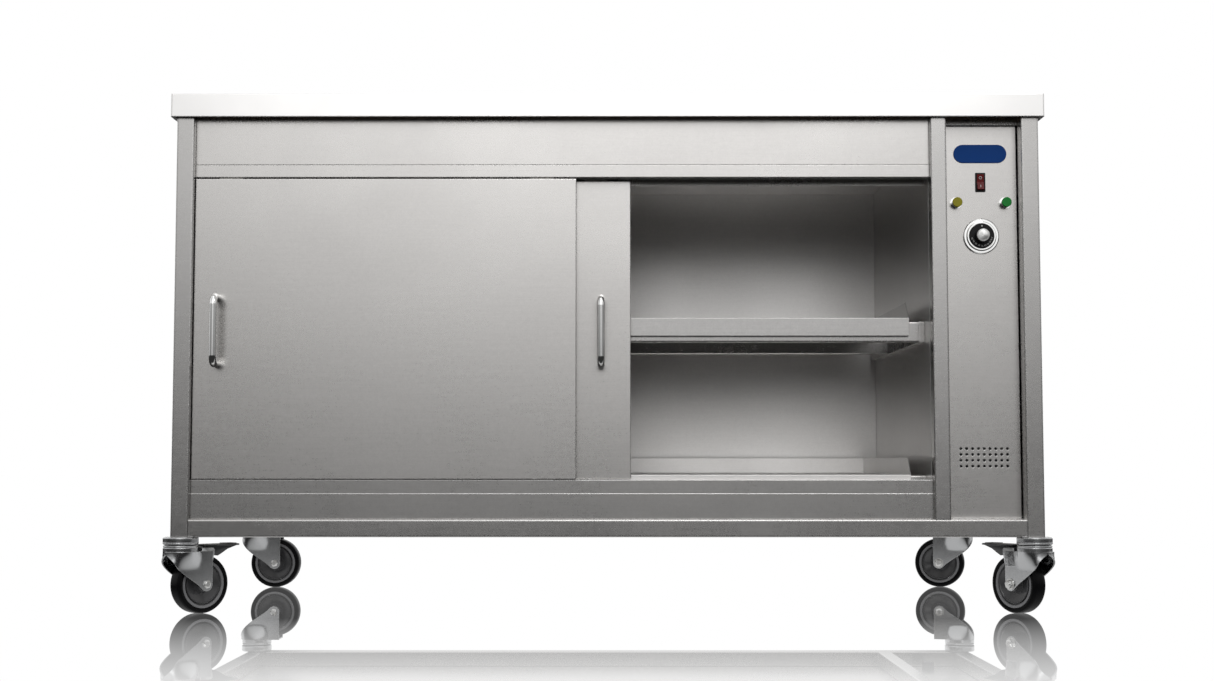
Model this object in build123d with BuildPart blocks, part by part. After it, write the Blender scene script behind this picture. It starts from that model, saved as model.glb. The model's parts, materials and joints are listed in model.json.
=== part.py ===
"""Mobile food holding cabinet: a heated cupboard on four swivel casters.

The cabinet stands on the plane z = 0, with its doors facing -Y and +X to the right. The origin is
the middle of the whole object's footprint. All sizes are in millimetres.
"""

import os
from math import cos, radians, sin, tan

from build123d import *

# ---- Overall sizes -------------------------------------------------------------------------------

LENGTH = 1500.0  # worktop, side to side
DEPTH = 700.0  # worktop, front to back
HEIGHT = 890.0  # floor to the worktop's surface

# ---- Sheet, tube and gaps ------------------------------------------------------------------------

SHEET = 1.0
TOP_SHEET = 1.5
TUBE_WALL = 1.5
TUBE_CORNER = 2.5
WELD_GAP = 0.2
RUNNING = 0.05

# ---- Frame ---------------------------------------------------------------------------------------

OVERHANG = 10.0  # worktop ahead of and behind the posts
SIDE_OVERHANG = 9.0  # worktop beside the posts
SKIRT = 40.0  # down-turned edge of the worktop
SKIRT_RETURN = 6.0
CORE = 18.0
POST = 30.0
CENTRE_POST = 27.0
CONTROL_WIDTH = 128.5  # clear opening of the control compartment
PANEL_RECESS = 3.0  # side and back panels inside the posts' outer faces
STEM_GAP = 1.0

# ---- Fronts and tracks ---------------------------------------------------------------------------

FASCIA_SETBACK = 15.0  # fascia behind the post fronts
DOOR_SETBACK = 12.0  # front door behind the post fronts
PANEL_SETBACK = 33.0  # control panel behind the post fronts
TRACK_BACK_GAP = 5.4  # rear door's back to the tracks' rear webs
UPPER_TRACK_DROP = 120.0  # below the worktop's surface
UPPER_SKIRT = 21.4
UPPER_WEB_DROP = 10.0
REAR_SKIRT_DROP = 29.0
LOWER_TRACK_RISE = 67.0  # above the frame's lower rails
LOWER_BAND = 23.0
TRACK_PROUD = 0.6
LOWER_FASCIA_PROUD = 1.4

# ---- Doors ---------------------------------------------------------------------------------------

DOOR_THICK = 20.0
DOOR_AIR = 6.0  # front door's back to the rear door's front
DOOR_OVERLAP = 48.0
DOOR_GAP_TOP = 3.0
DOOR_GAP_BOTTOM = 1.0
DOOR_SIDE_GAP = 1.0
DOOR_SHEET = 1.0
DOOR_EDGE = 1.0
REAR_DOOR_OPEN = 514.5  # how far the rear door stands open at rest
SHOE_LENGTH = 40.0
SHOE_THICK = 8.0
SHOE_INSET = 60.0
SHOE_SLOT_GAP = 1.0
SHOE_DEPTH = 7.0
TOP_GUIDE_REACH = 11.0

# ---- Handles -------------------------------------------------------------------------------------

HANDLE_ROD = 12.5
HANDLE_LENGTH = 126.5
HANDLE_PROJECTION = 42.0
HANDLE_BEND = 13.0
HANDLE_DROP = 5.3  # below the doors' middle
FRONT_HANDLE_INSET = 41.5
REAR_HANDLE_INSET = 51.0

# ---- Cavity, shelf and deck ----------------------------------------------------------------------

INSULATION = 24.0
LINER_SETBACK = 5.0  # rear liner ahead of the rear posts
CEILING_DROP = 74.0  # below the worktop's surface
DECK_RISE = 75.0  # above the frame's lower rails
SHELF_DROP = 381.0  # below the worktop's surface
TRAY_GAP = 29.5
TRAY_FRONT_GAP = 0.6
TRAY_REAR_GAP = 26.0
TRAY_LIP = 31.4
TRAY_RETURN = 8.0
UPSTAND = 30.0
RAIL_HIGH = 36.0
RAIL_DEEP = 20.0
STIFFENER = 4.8
STIFFENER_INSET = 1.0
RAIL_CLEAR = 1.0
SHELF_RAIL_PITCH = 341.0
SIDE_BEARER = 10.5
ELEMENT_ROD = 8.5
ELEMENT_SPAN = 110.0
ELEMENT_RISE = 29.0  # above the frame's lower rails
ELEMENT_SHARES = (0.3, 0.7)  # places between the deck's front and back

# ---- Controls ------------------------------------------------------------------------------------

PANEL_RETURN = 12.0
PANEL_SIDE_GAP = 1.5
BADGE = (92.0, 32.0, 2.0)
BADGE_DROP = 98.0  # each drop is from the worktop's surface to a fitting's middle
ROCKER_BEZEL = (17.5, 33.5, 1.8)
ROCKER_BODY = (15.0, 31.0, 18.0)
ROCKER_PADDLE = (11.6, 27.0)
PADDLE_GAP = 0.4
ROCKER_WELL = 7.0
ROCKER_SINK = 1.0
ROCKER_RISE = 2.0
ROCKER_BELLY = 2.4
ROCKER_TILT = 9.0
ROCKER_DROP = 148.0
ROCKER_PIN = 1.2
ROCKER_PIN_BITE = 0.8
LAMP_SPREAD = 85.0
LAMP_DROP = 184.0
LAMP_RIM = 20.0
LAMP_RIM_THICK = 1.8
LAMP_BARREL = 17.0
LAMP_REACH = 15.0
LAMP_LENS_THICK = 4.0
LAMP_HOLE = 12.0
LAMP_TAIL = 20.0
DIAL_DROP = 242.0
DIAL_BEZEL = 62.0
DIAL_SKIRT = 43.0
DIAL_GRIP = 25.0
DIAL_CAP = 22.0
DIAL_REACH = 21.0
DIAL_CLEAR = 0.5
DIAL_STEP = 8.6
BEZEL_THICK = 2.0
BEZEL_STEP = 1.6
BEZEL_FLAT = 5.0
BEZEL_RIM = 6.0
SKIRT_EDGE = 1.2
CAP_THICK = 1.6
GRIP_GROOVES = 18
GROOVE = 1.6
THERMOSTAT_DEPTH = 32.0
SPINDLE = 6.0
VENT_ROWS = 4
VENT_COLUMNS = 9
VENT_PITCH = 10.0
VENT_HOLE = 4.5
VENT_RISE = 105.0  # above the frame's lower rails
GLAND_BORE = 9.0
GLAND_NUT = 24.0
GLAND_THREAD = 20.0
GLAND_RISE = 14.0
GLAND_DROP = 16.0
GLAND_LOCKNUT = 5.0
TERMINALS = 5
TERMINAL_PITCH = 12.0
TERMINAL_DEEP = 20.0
TERMINAL_RISE = 163.0
TERMINAL_SPLIT = 1.0

# ---- Casters -------------------------------------------------------------------------------------

WHEEL = 100.0
TREAD = 30.0
TYRE_DEEP = 13.0  # rim to the ground
FORK_RISE = 6.5  # wheel's top to the fork's plate
TRAIL = 38.0
HEAD = 60.0
HEAD_THICK = 12.5
SWIVEL_GAP = 1.0
FORK_TOP_THICK = 11.0
FORK_INSIDE = 34.0
FORK_WALL = 3.0
FORK_BOSS = 11.5
FORK_KNEE = 9.0
BOLT_HEAD = 4.0
HUB_GAP = 0.5
HUB_BOSS = 12.0
HUB_WEB = 4.0
RIM_RING = 6.0
RIM_BEVEL = 1.0
TYRE_BEAD = 2.0
TREAD_EDGE = 6.0
AXLE = 10.0
BOLT_ACROSS = 8.5
NUT_REACH = 8.0
KINGPIN = 12.0
KINGPIN_HEAD = 5.0
KINGPIN_NUT = 9.0
HEAD_EDGE = 3.0
STEM_REACH = 44.0
PEDAL_REACH = 112.0
PEDAL_WIDTH = 44.0
PEDAL_LOW = 0.5  # pedal's top below the fork's top
PEDAL_PLATE = 3.0
PEDAL_PIN = 5.0
PEDAL_PIN_OUT = 50.0
PEDAL_PIN_RISE = 0.5  # pin above the fork's plate
PEDAL_NOSE = 15.0
PEDAL_HEEL = 30.0
FRONT_LEFT_HEADING = 47.0
FRONT_RIGHT_HEADING = 123.0
REAR_LEFT_HEADING = 0.0
REAR_RIGHT_HEADING = 163.0

# ---- Places worked out from the sizes above ------------------------------------------------------

post_in = POST / 2
front_reach = HANDLE_PROJECTION - OVERHANG - DOOR_SETBACK
rear_turn = radians(REAR_RIGHT_HEADING)
fork_wide = FORK_INSIDE + 2 * FORK_WALL
axle_reach = fork_wide / 2 + NUT_REACH
rear_swing = (TRAIL + AXLE / 2) * sin(rear_turn) + axle_reach * abs(cos(rear_turn))
rear_reach = rear_swing - post_in - OVERHANG
front_y = (front_reach - rear_reach - DEPTH) / 2
rear_y = front_y + DEPTH
side_x = LENGTH / 2

caster_height = WHEEL + FORK_RISE + FORK_TOP_THICK + SWIVEL_GAP + HEAD_THICK
skirt_z = HEIGHT - SKIRT
frame_top = HEIGHT - TOP_SHEET - CORE
post_front = front_y + OVERHANG
post_back = post_front + POST
rear_post_back = rear_y - OVERHANG
rear_post_front = rear_post_back - POST
outer_x = side_x - SIDE_OVERHANG
inner_x = outer_x - POST
base_top = caster_height + POST
top_rail_z = frame_top - POST

jamb_x = inner_x - CONTROL_WIDTH - CENTRE_POST
control_x = jamb_x + CENTRE_POST
control_mid = (control_x + inner_x) / 2

upper_track = HEIGHT - UPPER_TRACK_DROP
lower_track = base_top + LOWER_TRACK_RISE
ceiling = HEIGHT - CEILING_DROP
deck_height = base_top + DECK_RISE
shelf_height = HEIGHT - SHELF_DROP
element_z = base_top + ELEMENT_RISE
badge_z = HEIGHT - BADGE_DROP
rocker_z = HEIGHT - ROCKER_DROP
lamp_z = HEIGHT - LAMP_DROP
dial_z = HEIGHT - DIAL_DROP
vent_z = base_top + VENT_RISE

fascia_y = post_front + FASCIA_SETBACK
track_y = fascia_y - TRACK_PROUD
door_y = post_front + DOOR_SETBACK
rear_door_y = door_y + DOOR_THICK + DOOR_AIR
track_back = rear_door_y + DOOR_THICK + TRACK_BACK_GAP + SHEET
panel_y = post_front + PANEL_SETBACK

door_width = (jamb_x + inner_x - 2 * DOOR_SIDE_GAP + DOOR_OVERLAP) / 2
door_low = lower_track + DOOR_GAP_BOTTOM
door_high = upper_track - UPPER_SKIRT - DOOR_GAP_TOP
handle_z = (door_low + door_high) / 2 - HANDLE_DROP
front_door_x = -inner_x + DOOR_SIDE_GAP
rear_door_x = jamb_x - DOOR_SIDE_GAP - door_width - REAR_DOOR_OPEN

liner_y = rear_post_front - LINER_SETBACK
tray_front = track_back + TRAY_FRONT_GAP
tray_back = liner_y - TRAY_REAR_GAP
shelf_rail_y = tray_front + SHEET + TRAY_RETURN + RAIL_CLEAR
caster_x = outer_x - post_in
front_caster_y = post_front + post_in
rear_caster_y = rear_post_back - post_in

pieces = {}


def finish(label, builder):
    """Keep a finished piece under its label, to be written at the end."""
    builder.part.label = label
    pieces[label] = builder.part


def block(x, y, z, mode=Mode.ADD):
    """Fill the ranges x, y and z with a straight block, in the part being built."""
    with Locations((sum(x) / 2, sum(y) / 2, sum(z) / 2)):
        Box(x[1] - x[0], y[1] - y[0], z[1] - z[0], mode=mode)


def square_tube(start, width, height, reach, wall=TUBE_WALL, mode=Mode.ADD):
    """Add a rectangular tube with rounded corners, from a plane across it."""
    with BuildSketch(start) as section:
        RectangleRounded(width, height, TUBE_CORNER)
        RectangleRounded(width - 2 * wall, height - 2 * wall, TUBE_CORNER - wall, mode=Mode.SUBTRACT)
    extrude(section.sketch, amount=reach, mode=mode)


def upright(x, y, z, width=POST):
    """Add an upright tube centred on x, y between the heights in z."""
    square_tube(Plane((x, y, z[0])), width, POST, z[1] - z[0])


def rail_along_x(x, y, z, deep=POST, high=POST):
    """Add a tube between the two values in x, centred on y and z."""
    square_tube(Plane((x[0], y, z), x_dir=(0, 1, 0), z_dir=(1, 0, 0)), deep, high, x[1] - x[0])


def rail_along_y(x, y, z, wide=POST, high=POST):
    """Add a tube between the two values in y, centred on x and z."""
    square_tube(Plane((x, y[0], z), x_dir=(-1, 0, 0), z_dir=(0, 1, 0)), wide, high, y[1] - y[0])


def facing(x, z, y):
    """Plane at depth y that looks out of the cabinet's front, with its x along +X."""
    return Plane((x, y, z), x_dir=(1, 0, 0), z_dir=(0, -1, 0))


# ---- Worktop -------------------------------------------------------------------------------------

with BuildPart() as worktop:
    with BuildSketch(Plane((0, (front_y + rear_y) / 2, skirt_z))):
        RectangleRounded(LENGTH, DEPTH, TUBE_CORNER)
    extrude(amount=SKIRT)
    fillet(worktop.edges().group_by(Axis.Z)[-1], TOP_SHEET)
    block(
        (-side_x + TOP_SHEET, side_x - TOP_SHEET),
        (front_y + TOP_SHEET, rear_y - TOP_SHEET),
        (skirt_z + TOP_SHEET, HEIGHT - TOP_SHEET),
        mode=Mode.SUBTRACT,
    )
    block(
        (-side_x + SKIRT_RETURN, side_x - SKIRT_RETURN),
        (front_y + SKIRT_RETURN, rear_y - SKIRT_RETURN),
        (skirt_z, skirt_z + TOP_SHEET),
        mode=Mode.SUBTRACT,
    )
finish("worktop", worktop)

with BuildPart() as worktop_core:
    block(
        (-side_x + OVERHANG, side_x - OVERHANG),
        (front_y + OVERHANG, rear_y - OVERHANG),
        (frame_top, HEIGHT - TOP_SHEET),
    )
    fillet(worktop_core.edges().filter_by(Axis.Z), TUBE_CORNER)
finish("worktop_core", worktop_core)

# ---- Posts and rails -----------------------------------------------------------------------------

post_z = (caster_height, frame_top)

with BuildPart() as front_left_post:
    upright(-caster_x, front_caster_y, post_z)
finish("front_left_post", front_left_post)

with BuildPart() as front_right_post:
    upright(caster_x, front_caster_y, post_z)
finish("front_right_post", front_right_post)

with BuildPart() as rear_posts:
    for side in (-1, 1):
        upright(side * caster_x, rear_caster_y, post_z)
finish("rear_posts", rear_posts)

with BuildPart() as centre_post:
    upright(jamb_x + CENTRE_POST / 2, front_caster_y, (base_top, frame_top), CENTRE_POST)
finish("centre_post", centre_post)

base_rail_z = caster_height + POST / 2
top_rail_mid = frame_top - POST / 2
between_posts = (-inner_x + WELD_GAP, inner_x - WELD_GAP)
front_to_back = (post_back + WELD_GAP, rear_post_front - WELD_GAP)
top_rail_y = post_back + POST / 2
partition_mid = jamb_x + CENTRE_POST / 2

with BuildPart() as front_bottom_rail:
    rail_along_x((-inner_x, inner_x), front_caster_y, base_rail_z)
finish("front_bottom_rail", front_bottom_rail)

with BuildPart() as frame_rails:
    rail_along_x(between_posts, rear_caster_y, base_rail_z)
    rail_along_x(between_posts, rear_caster_y, top_rail_mid)
    rail_along_x((-outer_x, outer_x), top_rail_y + WELD_GAP, top_rail_mid)
    for side in (-1, 1):
        rail_along_y(side * caster_x, front_to_back, base_rail_z)
        rail_along_y(side * caster_x, (post_back + POST + 2 * WELD_GAP, front_to_back[1]), top_rail_mid)
    rail_along_y(partition_mid, front_to_back, base_rail_z, CENTRE_POST)
finish("frame_rails", frame_rails)

# ---- Body panels and insulation ------------------------------------------------------------------

skin_z = (base_top + WELD_GAP, top_rail_z - WELD_GAP)
left_liner = (-inner_x - SHEET, -inner_x)
right_skin = (control_x - SHEET, control_x)
jamb_liner = (jamb_x, jamb_x + SHEET)
cavity_y = (post_back + WELD_GAP, liner_y)
outer_skin_x = outer_x - PANEL_RECESS
back_skin_y = rear_post_back - PANEL_RECESS
deck_z = deck_height - SHEET
base_pan_top = base_top + SHEET

with BuildPart() as side_panels:
    for side in (-1, 1):
        edge = sorted((side * (outer_skin_x - SHEET), side * outer_skin_x))
        block(edge, front_to_back, skin_z)
finish("side_panels", side_panels)

with BuildPart() as back_panel:
    block(between_posts, (back_skin_y - SHEET, back_skin_y), skin_z)
finish("back_panel", back_panel)

with BuildPart() as base_pan:
    block(between_posts, front_to_back, (base_top, base_pan_top))
    with Locations((control_mid, rear_post_front - 2 * POST, base_top)):
        Cylinder(
            GLAND_THREAD / 2 + WELD_GAP,
            SHEET,
            align=(Align.CENTER, Align.CENTER, Align.MIN),
            mode=Mode.SUBTRACT,
        )
finish("base_pan", base_pan)

liner_low = base_pan_top + WELD_GAP
element_y = [tray_front + (tray_back - tray_front) * share for share in ELEMENT_SHARES]
element_legs = [y + side * ELEMENT_SPAN / 2 for y in element_y for side in (-1, 1)]


def element_holes(x):
    """Cut the clearance holes of the element ends through the wall that lies within x."""
    for leg in element_legs:
        with BuildSketch(Plane((x[0], leg, element_z), x_dir=(0, 1, 0), z_dir=(1, 0, 0))) as hole:
            Circle(ELEMENT_ROD / 2 + WELD_GAP)
        extrude(hole.sketch, amount=x[1] - x[0], mode=Mode.SUBTRACT)


with BuildPart() as cavity_liners:
    block(left_liner, cavity_y, (liner_low, ceiling - WELD_GAP))
    block((-inner_x, jamb_x), (liner_y + WELD_GAP, liner_y + SHEET), (liner_low, ceiling - WELD_GAP))
    block((-inner_x, jamb_x), (track_back + WELD_GAP, liner_y), (ceiling, ceiling + SHEET))
finish("cavity_liners", cavity_liners)

with BuildPart() as partition_panel:
    block(jamb_liner, cavity_y, (liner_low, ceiling - WELD_GAP))
    element_holes(jamb_liner)
    block(right_skin, (cavity_y[0], back_skin_y - INSULATION), (liner_low, top_rail_z - WELD_GAP))
    element_holes(right_skin)
finish("partition_panel", partition_panel)

with BuildPart() as insulation_slabs:
    block(
        (-outer_skin_x + SHEET + WELD_GAP, left_liner[0] - WELD_GAP),
        (cavity_y[0], rear_post_front - WELD_GAP),
        skin_z,
    )
    block(
        (-inner_x, jamb_x),
        (liner_y + SHEET + WELD_GAP, back_skin_y - SHEET - WELD_GAP),
        (liner_low, skin_z[1]),
    )
    block(
        (jamb_liner[1] + WELD_GAP, right_skin[0] - WELD_GAP),
        cavity_y,
        (liner_low, ceiling - WELD_GAP),
    )
    element_holes((jamb_liner[1], right_skin[0]))
    block(
        (-inner_x, jamb_x),
        (track_back - SHEET, liner_y),
        (ceiling + SHEET + WELD_GAP, skin_z[1]),
    )
    block(
        (-inner_x, jamb_x),
        (post_back + POST + 3 * WELD_GAP, liner_y),
        (skin_z[1], frame_top - WELD_GAP),
    )
finish("insulation_slabs", insulation_slabs)

# ---- Fascias and door tracks ---------------------------------------------------------------------

front_span = (-inner_x + WELD_GAP, jamb_x - WELD_GAP)
upper_web = upper_track - UPPER_WEB_DROP
skirt_low = upper_track - UPPER_SKIRT
rib_y = (door_y + DOOR_THICK + rear_door_y) / 2
fascia_foot = upper_track + WELD_GAP

with BuildPart() as upper_fascia:
    block(front_span, (fascia_y, fascia_y + SHEET), (fascia_foot, frame_top))
    block(front_span, (fascia_y, post_back), (frame_top - SHEET, frame_top))
    block(front_span, (fascia_y, post_back), (fascia_foot, fascia_foot + SHEET))
    inner_fold = upper_fascia.edges().filter_by(Axis.X).filter_by_position(Axis.Y, fascia_y, fascia_y)
    fillet(inner_fold, SHEET / 2)
finish("upper_fascia", upper_fascia)

with BuildPart() as top_track:
    block(front_span, (track_y, track_back), (upper_web, upper_web + SHEET))
    block(front_span, (track_y, track_y + SHEET), (skirt_low, upper_track))
    block(front_span, (track_y, post_back), (upper_track - SHEET, upper_track))
    block(front_span, (rib_y - SHEET / 2, rib_y + SHEET / 2), (skirt_low, upper_web))
    block(
        front_span,
        (track_back - SHEET, track_back),
        (upper_track - REAR_SKIRT_DROP, ceiling + SHEET),
    )
finish("top_track", top_track)

lower_band_low = lower_track - LOWER_BAND
lower_fascia_y = track_y - LOWER_FASCIA_PROUD

with BuildPart() as lower_fascia:
    block(front_span, (lower_fascia_y, lower_fascia_y + SHEET), (base_top + WELD_GAP, lower_band_low))
    block(front_span, (lower_fascia_y, track_y - WELD_GAP), (lower_band_low - SHEET, lower_band_low))
    top_fold = lower_fascia.edges().filter_by(Axis.X).group_by(Axis.Z)[-1].sort_by(Axis.Y)[0]
    fillet(top_fold, SHEET / 2)
finish("lower_fascia", lower_fascia)

shoe_slot = SHOE_THICK + 2 * SHOE_SLOT_GAP
guide_lines = (door_y + DOOR_THICK / 2, rear_door_y + DOOR_THICK / 2)

with BuildPart() as bottom_track:
    block(front_span, (track_y, track_back), (lower_track - SHEET, lower_track))
    block(front_span, (track_y, track_y + SHEET), (base_top + WELD_GAP, lower_track))
    block(
        front_span,
        (track_back - SHEET, track_back),
        (lower_band_low, lower_track),
    )
    front_fold = bottom_track.edges().filter_by(Axis.X).group_by(Axis.Z)[-1].sort_by(Axis.Y)[0]
    fillet(front_fold, SHEET / 2)
    for line in guide_lines:
        block(
            (front_span[0] + POST, front_span[1] - POST),
            (line - shoe_slot / 2, line + shoe_slot / 2),
            (lower_track - SHEET, lower_track),
            mode=Mode.SUBTRACT,
        )
finish("bottom_track", bottom_track)

# ---- Deck, shelf and their supports --------------------------------------------------------------

tray_x = (-inner_x + TRAY_GAP, jamb_x - TRAY_GAP)


def tray(height):
    """Build a folded tray with a front lip and upstands on its other three sides."""
    with BuildPart() as folded:
        block(tray_x, (tray_front, tray_back), (height - SHEET, height))
        block(tray_x, (tray_front, tray_front + SHEET), (height - TRAY_LIP, height))
        block(
            tray_x,
            (tray_front, tray_front + TRAY_RETURN),
            (height - TRAY_LIP, height - TRAY_LIP + SHEET),
        )
        nose = folded.edges().filter_by(Axis.X).filter_by_position(Axis.Y, tray_front, tray_front)
        fillet(nose, SHEET / 2)
        block(tray_x, (tray_back - SHEET, tray_back), (height - SHEET, height + UPSTAND))
        for x in (tray_x[0], tray_x[1] - SHEET):
            with BuildSketch(Plane((x, 0, 0), x_dir=(0, 1, 0), z_dir=(1, 0, 0))):
                with BuildLine():
                    Polyline(
                        (tray_front, height - SHEET),
                        (tray_front, height),
                        (tray_front + UPSTAND, height + UPSTAND),
                        (tray_back, height + UPSTAND),
                        (tray_back, height - SHEET),
                        close=True,
                    )
                make_face()
            extrude(amount=SHEET)
    return folded


finish("bottom_deck", tray(deck_height))
finish("middle_shelf", tray(shelf_height))

bearer_x = (-inner_x + SIDE_BEARER + 2 * WELD_GAP, jamb_x - SIDE_BEARER - 2 * WELD_GAP)
wall_to_wall = (-inner_x + WELD_GAP, jamb_x - WELD_GAP)
shelf_rail_top = shelf_height - SHEET - STIFFENER
rail_lines = [shelf_rail_y + RAIL_DEEP / 2 + offset for offset in (0, SHELF_RAIL_PITCH)]
bearer_span = (shelf_rail_y, tray_back)

with BuildPart() as tray_supports:
    for line in rail_lines:
        rail_along_x(bearer_x, line, shelf_rail_top - RAIL_HIGH / 2, RAIL_DEEP, RAIL_HIGH)
        block(
            (tray_x[0] + RAIL_DEEP, tray_x[1] - RAIL_DEEP),
            (line - RAIL_DEEP / 2 + STIFFENER_INSET, line + RAIL_DEEP / 2 - STIFFENER_INSET),
            (shelf_rail_top, shelf_rail_top + STIFFENER),
        )
        rail_along_x(wall_to_wall, line, deck_z - RAIL_HIGH / 2, RAIL_DEEP, RAIL_HIGH)
    for x in (wall_to_wall[0], wall_to_wall[1] - SIDE_BEARER):
        block((x, x + SIDE_BEARER), bearer_span, (shelf_rail_top - RAIL_HIGH, shelf_rail_top))
finish("tray_supports", tray_supports)

element_far = -inner_x + 2 * TRAY_GAP + ELEMENT_SPAN / 2
element_near = control_x + 2 * TRAY_GAP

with BuildPart() as heating_elements:
    for y in element_y:
        with BuildLine() as hairpin:
            Line(
                (element_near, y - ELEMENT_SPAN / 2, element_z),
                (element_far, y - ELEMENT_SPAN / 2, element_z),
            )
            ThreePointArc(
                (element_far, y - ELEMENT_SPAN / 2, element_z),
                (element_far - ELEMENT_SPAN / 2, y, element_z),
                (element_far, y + ELEMENT_SPAN / 2, element_z),
            )
            Line(
                (element_far, y + ELEMENT_SPAN / 2, element_z),
                (element_near, y + ELEMENT_SPAN / 2, element_z),
            )
        with BuildSketch(Plane(hairpin.line @ 0, z_dir=hairpin.line % 0)):
            Circle(ELEMENT_ROD / 2)
        sweep()
finish("heating_elements", heating_elements)

# ---- Sliding doors -------------------------------------------------------------------------------


def door(label, x, y, handle_x):
    """Build one double-skinned door whose left edge is at x and whose front face is at y."""
    across = (x, x + door_width)
    back = y + DOOR_THICK
    inside_x = (x + DOOR_SHEET, x + door_width - DOOR_SHEET)
    inside_z = (door_low + DOOR_SHEET, door_high - DOOR_SHEET)
    liner_front = back - DOOR_SHEET

    with BuildPart() as skin:
        block(across, (y, back), (door_low, door_high))
        front_edges = skin.faces().sort_by(Axis.Y)[0].edges()
        fillet(front_edges, DOOR_EDGE)
        block(inside_x, (y + DOOR_SHEET, back), inside_z, mode=Mode.SUBTRACT)
    finish(f"{label}_skin", skin)

    with BuildPart() as liner:
        block(inside_x, (liner_front, back), inside_z)
    finish(f"{label}_liner", liner)

    with BuildPart() as filling:
        block(inside_x, (y + DOOR_SHEET, liner_front), inside_z)
    finish(f"{label}_insulation", filling)

    with BuildPart() as guides:
        line = y + DOOR_THICK / 2
        for guide_x in (x + SHOE_INSET, x + door_width - SHOE_INSET):
            shoe_x = (guide_x - SHOE_LENGTH / 2, guide_x + SHOE_LENGTH / 2)
            shoe_y = (line - SHOE_THICK / 2, line + SHOE_THICK / 2)
            block(shoe_x, shoe_y, (door_low - SHOE_DEPTH, door_low))
            block(shoe_x, shoe_y, (door_high, door_high + TOP_GUIDE_REACH))
        fillet(guides.edges().filter_by(Axis.Z), SHOE_THICK / 4)
    finish(f"{label}_guides", guides)

    bar_half = (HANDLE_LENGTH - HANDLE_ROD) / 2
    bar_y = y - HANDLE_PROJECTION + HANDLE_ROD / 2
    with BuildPart() as handle:
        with BuildLine() as path:
            FilletPolyline(
                (handle_x, y, handle_z + bar_half),
                (handle_x, bar_y, handle_z + bar_half),
                (handle_x, bar_y, handle_z - bar_half),
                (handle_x, y, handle_z - bar_half),
                radius=HANDLE_BEND,
            )
        with BuildSketch(Plane(path.line @ 0, z_dir=path.line % 0)):
            Circle(HANDLE_ROD / 2)
        sweep()
    finish(f"{label}_handle", handle)


door("front_door", front_door_x, door_y, front_door_x + FRONT_HANDLE_INSET)
door("rear_door", rear_door_x, rear_door_y, rear_door_x + door_width - REAR_HANDLE_INSET)

# ---- Control panel and its fittings --------------------------------------------------------------

panel_x = (control_x + WELD_GAP, inner_x - PANEL_SIDE_GAP)
panel_z = (base_pan_top + WELD_GAP, top_rail_z - WELD_GAP)
lamp_places = [(control_mid + side * LAMP_SPREAD / 2, lamp_z) for side in (-1, 1)]

with BuildPart() as control_panel:
    block(panel_x, (panel_y, panel_y + PANEL_RETURN), panel_z)
    fillet(control_panel.faces().sort_by(Axis.Y)[0].edges(), SHEET / 2)
    block(
        (panel_x[0] + SHEET, panel_x[1] - SHEET),
        (panel_y + SHEET, panel_y + PANEL_RETURN),
        (panel_z[0] + SHEET, panel_z[1] - SHEET),
        mode=Mode.SUBTRACT,
    )
    with BuildSketch(facing(control_mid, 0, panel_y)):
        with Locations((0, rocker_z)):
            Rectangle(ROCKER_BODY[0] + 2 * WELD_GAP, ROCKER_BODY[1] + 2 * WELD_GAP)
        with Locations((0, lamp_z)):
            with GridLocations(LAMP_SPREAD, 0, 2, 1):
                Circle(LAMP_HOLE / 2 + WELD_GAP)
        with Locations((0, dial_z)):
            Circle(SPINDLE)
        with Locations((0, vent_z)):
            with GridLocations(VENT_PITCH, VENT_PITCH, VENT_COLUMNS, VENT_ROWS):
                Circle(VENT_HOLE / 2)
    extrude(amount=-SHEET, mode=Mode.SUBTRACT)
finish("control_panel", control_panel)

with BuildPart() as panel_badge:
    with BuildSketch(facing(control_mid, badge_z, panel_y)):
        SlotOverall(BADGE[0], BADGE[1])
    extrude(amount=BADGE[2])
    fillet(panel_badge.faces().sort_by(Axis.Y)[0].edges(), BADGE[2] / 2)
finish("panel_badge", panel_badge)

rocker_front = panel_y - ROCKER_BEZEL[2]
pivot_y = rocker_front + ROCKER_SINK
well_width = ROCKER_PADDLE[0] + 2 * PADDLE_GAP
well_height = ROCKER_PADDLE[1] + 4 * PADDLE_GAP

with BuildPart() as rocker_housing:
    with BuildSketch(facing(control_mid, rocker_z, panel_y)):
        RectangleRounded(ROCKER_BEZEL[0], ROCKER_BEZEL[1], TUBE_WALL)
    extrude(amount=ROCKER_BEZEL[2])
    fillet(rocker_housing.faces().sort_by(Axis.Y)[0].edges(), SHEET / 2)
    with BuildSketch(facing(control_mid, rocker_z, panel_y)):
        Rectangle(ROCKER_BODY[0], ROCKER_BODY[1])
    extrude(amount=-ROCKER_BODY[2])
    with BuildSketch(facing(control_mid, rocker_z, rocker_front)):
        Rectangle(well_width, well_height)
    extrude(amount=-ROCKER_WELL, mode=Mode.SUBTRACT)
    with Locations((control_mid, pivot_y, rocker_z)):
        Cylinder(
            ROCKER_PIN + RUNNING,
            well_width + 2 * ROCKER_PIN_BITE + 2 * RUNNING,
            rotation=(0, 90, 0),
            mode=Mode.SUBTRACT,
        )
finish("rocker_housing", rocker_housing)

half_paddle = ROCKER_PADDLE[1] / 2
tilt = radians(ROCKER_TILT)
lean = half_paddle * tan(tilt)
rocker_plane = Plane(
    (control_mid - ROCKER_PADDLE[0] / 2, pivot_y, rocker_z),
    x_dir=(0, cos(tilt), -sin(tilt)),
    z_dir=(1, 0, 0),
)

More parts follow.
